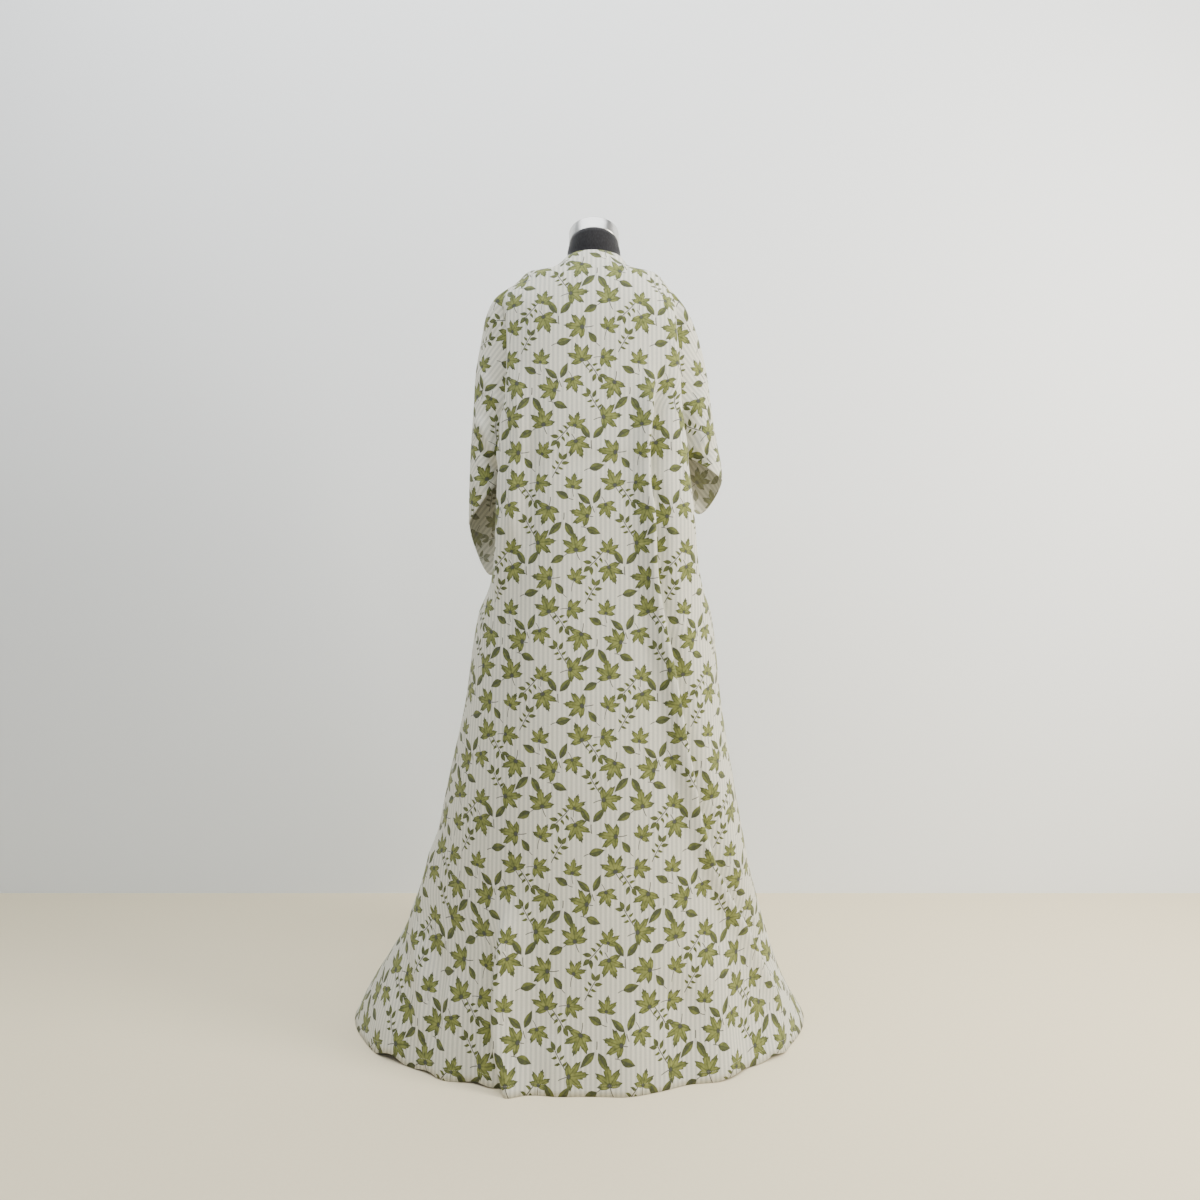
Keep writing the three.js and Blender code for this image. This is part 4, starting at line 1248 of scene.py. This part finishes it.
def stitch_tree():
    """Geometry nodes that lay short rounded stitches along the edges of a mesh."""
    name = "row of stitches"
    if name in bpy.data.node_groups:
        return bpy.data.node_groups[name]
    tree = bpy.data.node_groups.new(name, "GeometryNodeTree")
    face = tree.interface
    face.new_socket("Geometry", in_out="INPUT", socket_type="NodeSocketGeometry")
    for label, value in STITCH.items():
        face.new_socket(label, in_out="INPUT", socket_type="NodeSocketFloat").default_value = value
    face.new_socket("Thread", in_out="INPUT", socket_type="NodeSocketMaterial")
    face.new_socket("Geometry", in_out="OUTPUT", socket_type="NodeSocketGeometry")
    make, link = tree.nodes.new, tree.links.new
    given, sink = make("NodeGroupInput"), make("NodeGroupOutput")
    curve, spaced = make("GeometryNodeMeshToCurve"), make("GeometryNodeResampleCurve")
    spaced.mode = "LENGTH"
    link(given.outputs["Geometry"], curve.inputs["Mesh"])
    link(curve.outputs["Curve"], spaced.inputs["Curve"])
    link(given.outputs["Pitch"], spaced.inputs["Length"])
    stitch = make("GeometryNodeMeshUVSphere")
    stitch.inputs["Segments"].default_value = 6
    stitch.inputs["Rings"].default_value = 4
    stitch.inputs["Radius"].default_value = 0.5
    size = make("ShaderNodeCombineXYZ")
    for axis, label in (("X", "Thickness"), ("Y", "Thickness"), ("Z", "Length")):
        link(given.outputs[label], size.inputs[axis])
    shaped = make("GeometryNodeTransform")
    link(stitch.outputs["Mesh"], shaped.inputs["Geometry"])
    link(size.outputs[0], shaped.inputs["Scale"])
    tangent, align = make("GeometryNodeInputTangent"), make("FunctionNodeAlignRotationToVector")
    align.axis = "Z"
    link(tangent.outputs[0], align.inputs["Vector"])
    laid = make("GeometryNodeInstanceOnPoints")
    link(spaced.outputs["Curve"], laid.inputs["Points"])
    link(shaped.outputs["Geometry"], laid.inputs["Instance"])
    link(align.outputs["Rotation"], laid.inputs["Rotation"])
    real, finish = make("GeometryNodeRealizeInstances"), make("GeometryNodeSetMaterial")
    link(laid.outputs["Instances"], real.inputs["Geometry"])
    link(real.outputs["Geometry"], finish.inputs["Geometry"])
    link(given.outputs["Thread"], finish.inputs["Material"])
    link(finish.outputs["Geometry"], sink.inputs["Geometry"])
    return tree


def stitched(name, runs, sizes):
    """Lays stitches along runs of points and keeps them as a plain mesh."""
    points = [point for run in runs for point in run]
    edges, start = [], 0
    for run in runs:
        edges += [(start + i, start + i + 1) for i in range(len(run) - 1)]
        start += len(run)
    mesh = bpy.data.meshes.new(name + " line")
    mesh.from_pydata([tuple(point) for point in points], edges, [])
    line = placed(name + " line", mesh)
    tree = stitch_tree()
    row = line.modifiers.new("stitches", "NODES")
    row.node_group = tree
    values = {
        "Pitch": sizes.stitch_pitch,
        "Length": sizes.stitch_pitch * STITCH_SHARE,
        "Thickness": sizes.thread_thickness,
        "Thread": material("sewing_cotton"),
    }
    for item in tree.interface.items_tree:
        if item.in_out == "INPUT" and item.name in values:
            row[item.identifier] = values[item.name]
    depsgraph = bpy.context.evaluated_depsgraph_get()
    plain = bpy.data.meshes.new_from_object(line.evaluated_get(depsgraph), depsgraph=depsgraph)
    bpy.data.objects.remove(line)
    if len(plain.polygons) == 0:
        raise RuntimeError(name + ": no stitches were made")
    plain.name = name
    return placed(name, plain)


def edge_run(stretch, part, side, face, inset):
    """Points of a line on the cloth that keeps its distance from the neck, hem or cuff."""
    columns = COLUMNS[part] * 2
    down = inset / STRETCH_LENGTHS[stretch]
    if stretch != "yoke":
        down = 1 - down
    if stretch == "skirt":
        down = down ** (1 / ROW_CROWDING)
    points = []
    for column in range(columns + 1):
        across = column / columns
        step = STITCH_PROBE["across"]
        point = cloth_point(stretch, part, side, face, down, across)
        below = cloth_point(stretch, part, side, face, down + STITCH_PROBE["down"], across)
        ahead = cloth_point(stretch, part, side, face, down, min(1, across + step))
        back = cloth_point(stretch, part, side, face, down, max(0, across - step))
        normal = (ahead - back).cross(below - point).normalized()
        if SIDES[side] * FACES[face] > 0:
            normal = -normal
        points.append((point + normal * STITCH_LIFT) * MM)
    return points


# ------------------------------------------------------------------ the studio
CAMERA = {"lens": 26.1, "sensor": 36, "place": (0.012, -1.7467, 0.938), "pitch": 3}
STUDIO = {"reach": 4, "wall_y": 0.62, "wall_height": 3}
SKY = (0.93, 0.95, 1, 1)
LIGHTS = {
    "ceiling": {"place": (-0.2, -0.8, 3.1), "target": (0, 0.3, 1.0), "size": (3.4, 2.2),
                "colour": (0.97, 0.985, 1)},
    "window": {"place": (-2.6, -2.0, 1.7), "target": (0, 0, 0.9), "size": (2.0, 2.2),
               "colour": (0.93, 0.96, 1)},
    "lamp": {"place": (2.2, -0.8, 1.7), "target": (0, 0, 1.0), "size": (0.7, 1.6),
             "colour": (1, 0.93, 0.82)},
}


def plane(name, corners, finish):
    """A flat piece of the studio."""
    mesh = bpy.data.meshes.new(name)
    mesh.from_pydata(corners, [], [tuple(range(len(corners)))])
    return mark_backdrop(placed(name, mesh, material(finish)))


def area_light(name, power, place, target, size, colour):
    """A rectangular light that faces its target."""
    lamp = bpy.data.lights.new(name, "AREA")
    lamp.shape = "RECTANGLE"
    lamp.size, lamp.size_y = size
    lamp.energy = power
    lamp.color = colour
    made = placed(name, lamp)
    made.location = place
    made.rotation_euler = (Vector(target) - Vector(place)).to_track_quat("-Z", "Y").to_euler()


def studio_lights(powers):
    """The three lights, and the even light of the room."""
    for name, light in LIGHTS.items():
        area_light(name, getattr(powers, name), **light)
    world = bpy.data.worlds.new("studio")
    world.use_nodes = True
    background = world.node_tree.nodes["Background"].inputs
    background[0].default_value = SKY
    background[1].default_value = powers.fill
    bpy.context.scene.world = world


def studio_camera():
    """The camera, level with the waist and tilted a little down."""
    camera = bpy.data.cameras.new("camera")
    camera.lens = CAMERA["lens"]
    camera.sensor_width = CAMERA["sensor"]
    made = placed("camera", camera)
    made.location = CAMERA["place"]
    made.rotation_euler = (math.radians(90 - CAMERA["pitch"]), 0, 0)
    bpy.context.scene.camera = made


# ------------------------------------------------------------------ the add-on's settings
def colour_property(name, description, default):
    """A colour in the sidebar."""
    return bpy.props.FloatVectorProperty(
        name=name, description=description, default=default, subtype="COLOR", min=0, max=1
    )


def length_property(name, description, default, low, high):
    """A length in the sidebar, within its limits."""
    return bpy.props.FloatProperty(
        name=name, description=description, default=default, min=low, max=high, unit="LENGTH",
        precision=5,
    )


def power_property(name, description, default):
    """A light's power in the sidebar."""
    return bpy.props.FloatProperty(
        name=name, description=description, default=default, min=0, unit="POWER"
    )


class DressLooks(bpy.types.PropertyGroup):
    """Colours of the cloth, the form and the studio."""

    ground: colour_property("Ground", "Light stripe of the cotton", (0.705, 0.695, 0.60))
    stripe: colour_property("Stripe", "Greyer stripe of the cotton", (0.55, 0.55, 0.48))
    light_ink: colour_property("Light leaf", "Palest green of the print", (0.245, 0.268, 0.066))
    mid_ink: colour_property("Leaf", "Middle green of the print", (0.113, 0.134, 0.027))
    dark_ink: colour_property("Dark leaf", "Darkest green of the print", (0.040, 0.051, 0.013))
    stem_ink: colour_property("Stem", "Grey of the stems and leaf feet", (0.05, 0.055, 0.047))
    jersey: colour_property("Jersey", "Knit over the form", (0.009, 0.009, 0.011))
    cap: colour_property("Neck cap", "Steel of the neck cap", (0.53, 0.53, 0.52))
    stand: colour_property("Stand", "Coat of the pole and base", (0.03, 0.03, 0.032))
    button: colour_property("Button", "Resin of the button", (0.72, 0.68, 0.58))
    thread: colour_property("Thread", "Sewing thread", (0.70, 0.68, 0.61))
    floor: colour_property("Floor", "Studio floor", (0.77, 0.69, 0.50))
    wall: colour_property("Wall", "Studio wall", (0.88, 0.915, 0.94))


class DressSizes(bpy.types.PropertyGroup):
    """Thicknesses and stitch sizes."""

    cloth_thickness: length_property("Cloth", "Thickness of the cloth shells", 0.0009, 0.0003, 0.0016)
    stitch_pitch: length_property(
        "Stitch", "Distance from stitch to stitch", STITCH["Pitch"], 0.002, 0.006
    )
    thread_thickness: length_property(
        "Thread", "Thickness of the sewing thread", STITCH["Thickness"], 0.0002, 0.001
    )


class StudioLights(bpy.types.PropertyGroup):
    """Strengths of the lights."""

    ceiling: power_property("Ceiling", "Power of the ceiling light", 112)
    window: power_property("Window", "Power of the light from the left", 7)
    lamp: power_property("Lamp", "Power of the warm light from the right", 92)
    fill: bpy.props.FloatProperty(
        name="Fill", description="Strength of the even light all round", default=0.2, min=0
    )


# ------------------------------------------------------------------ the operators
class BuildClothFace:
    face = ""
    flat = (1.0, 1.0)
    area = 1.0

    def execute(self, context):
        sizes = context.scene.dress_sizes
        shell = cloth_shell(self.face, sizes.cloth_thickness)
        for kind, (stretch, parts, inset) in STITCH_LINES.items():
            runs = [
                edge_run(stretch, part, side, self.face, inset) for part in parts for side in SIDES
            ]
            row = stitched(self.face + "_" + kind + "_stitches", runs, sizes)
            declare(row)
        declare(shell, "dress_" + self.face)
        return {"FINISHED"}


class DRESS_OT_back(BuildClothFace, bpy.types.Operator):
    """Build the dress's back with its stitching"""

    bl_idname = "dress.back"
    bl_label = "Dress Back"
    face = "back"
    flat = (1.22, 1.56)
    area = 1.2


class DRESS_OT_front(BuildClothFace, bpy.types.Operator):
    """Build the dress's front with its stitching"""

    bl_idname = "dress.front"
    bl_label = "Dress Front"
    face = "front"
    flat = (1.28, 1.56)
    area = 1.23


class DRESS_OT_fastening(bpy.types.Operator):
    """Build the neck button and its loop"""

    bl_idname = "dress.fastening"
    bl_label = "Neck Button and Loop"

    def execute(self, context):
        button = placed("neck_button_horn", button_mesh(), material("pale_horn"))
        declare(button, "neck_button")
        cord = tube("neck_button_loop_cord", loop_route(), LOOP_THICK / 2 * MM, LOOP_SIDES)
        loop = placed("neck_button_loop_cord", cord, material("sewing_cotton"))
        declare(loop, "neck_button_loop")
        return {"FINISHED"}


class DRESS_OT_form(bpy.types.Operator):
    """Build the form's torso and neck cap, and finish its stand"""

    bl_idname = "dress.form"
    bl_label = "Dress Form"

    def execute(self, context):
        torso = placed("form_torso_jersey", torso_mesh(), material("black_jersey"))
        declare(torso, "form_torso")
        dome = lathe("form_neck_cap_steel", cap_outline(), CAP_SEGMENTS, slanted_seat())
        cap = placed("form_neck_cap_steel", dome, material("brushed_cap_steel"))
        declare(cap, "form_neck_cap")
        for node in ("form_pole", "form_base_plate"):
            for held in bpy.data.objects[node].material_slots:
                held.material = material("powder_coat")
        return {"FINISHED"}


class DRESS_OT_studio(bpy.types.Operator):
    """Build the floor, the wall, the lights and the camera"""

    bl_idname = "dress.studio"
    bl_label = "Studio"

    def execute(self, context):
        reach, back, top = (STUDIO[key] for key in ("reach", "wall_y", "wall_height"))
        floor = [(-reach, -reach, 0), (reach, -reach, 0), (reach, reach, 0), (-reach, reach, 0)]
        wall = [(-reach, back, 0), (reach, back, 0), (reach, back, top), (-reach, back, top)]
        plane("floor", floor, "pale_floor")
        plane("wall", wall, "pale_wall")
        studio_lights(context.scene.studio_lights)
        studio_camera()
        return {"FINISHED"}


class DRESS_PT_sidebar(bpy.types.Panel):
    """The dress's settings and its operators."""

    bl_idname = "DRESS_PT_sidebar"
    bl_label = "Dress"
    bl_space_type = "VIEW_3D"
    bl_region_type = "UI"
    bl_category = "Dress"

    def draw(self, context):
        scene = context.scene
        for settings in (scene.dress_sizes, scene.dress_looks, scene.studio_lights):
            for name in settings.bl_rna.properties.keys():
                if name not in ("rna_type", "name"):
                    self.layout.prop(settings, name)
        for operator in OPERATORS:
            self.layout.operator(operator.bl_idname)


OPERATORS = (DRESS_OT_form, DRESS_OT_back, DRESS_OT_front, DRESS_OT_fastening, DRESS_OT_studio)
CLASSES = (DressLooks, DressSizes, StudioLights, *OPERATORS, DRESS_PT_sidebar)
SETTINGS = {"dress_looks": DressLooks, "dress_sizes": DressSizes, "studio_lights": StudioLights}


def register():
    """Adds the classes and the scene's settings."""
    for made in CLASSES:
        bpy.utils.register_class(made)
    for name, group in SETTINGS.items():
        setattr(bpy.types.Scene, name, bpy.props.PointerProperty(type=group))


def unregister():
    """Takes the settings and the classes away again."""
    for name in SETTINGS:
        delattr(bpy.types.Scene, name)
    for made in reversed(CLASSES):
        bpy.utils.unregister_class(made)


def main():
    """Builds the dress, its form and the studio."""
    register()
    bpy.ops.dress.form()
    bpy.ops.dress.back()
    bpy.ops.dress.front()
    bpy.ops.dress.fastening()
    bpy.ops.dress.studio()


if __name__ == "__main__":
    main()
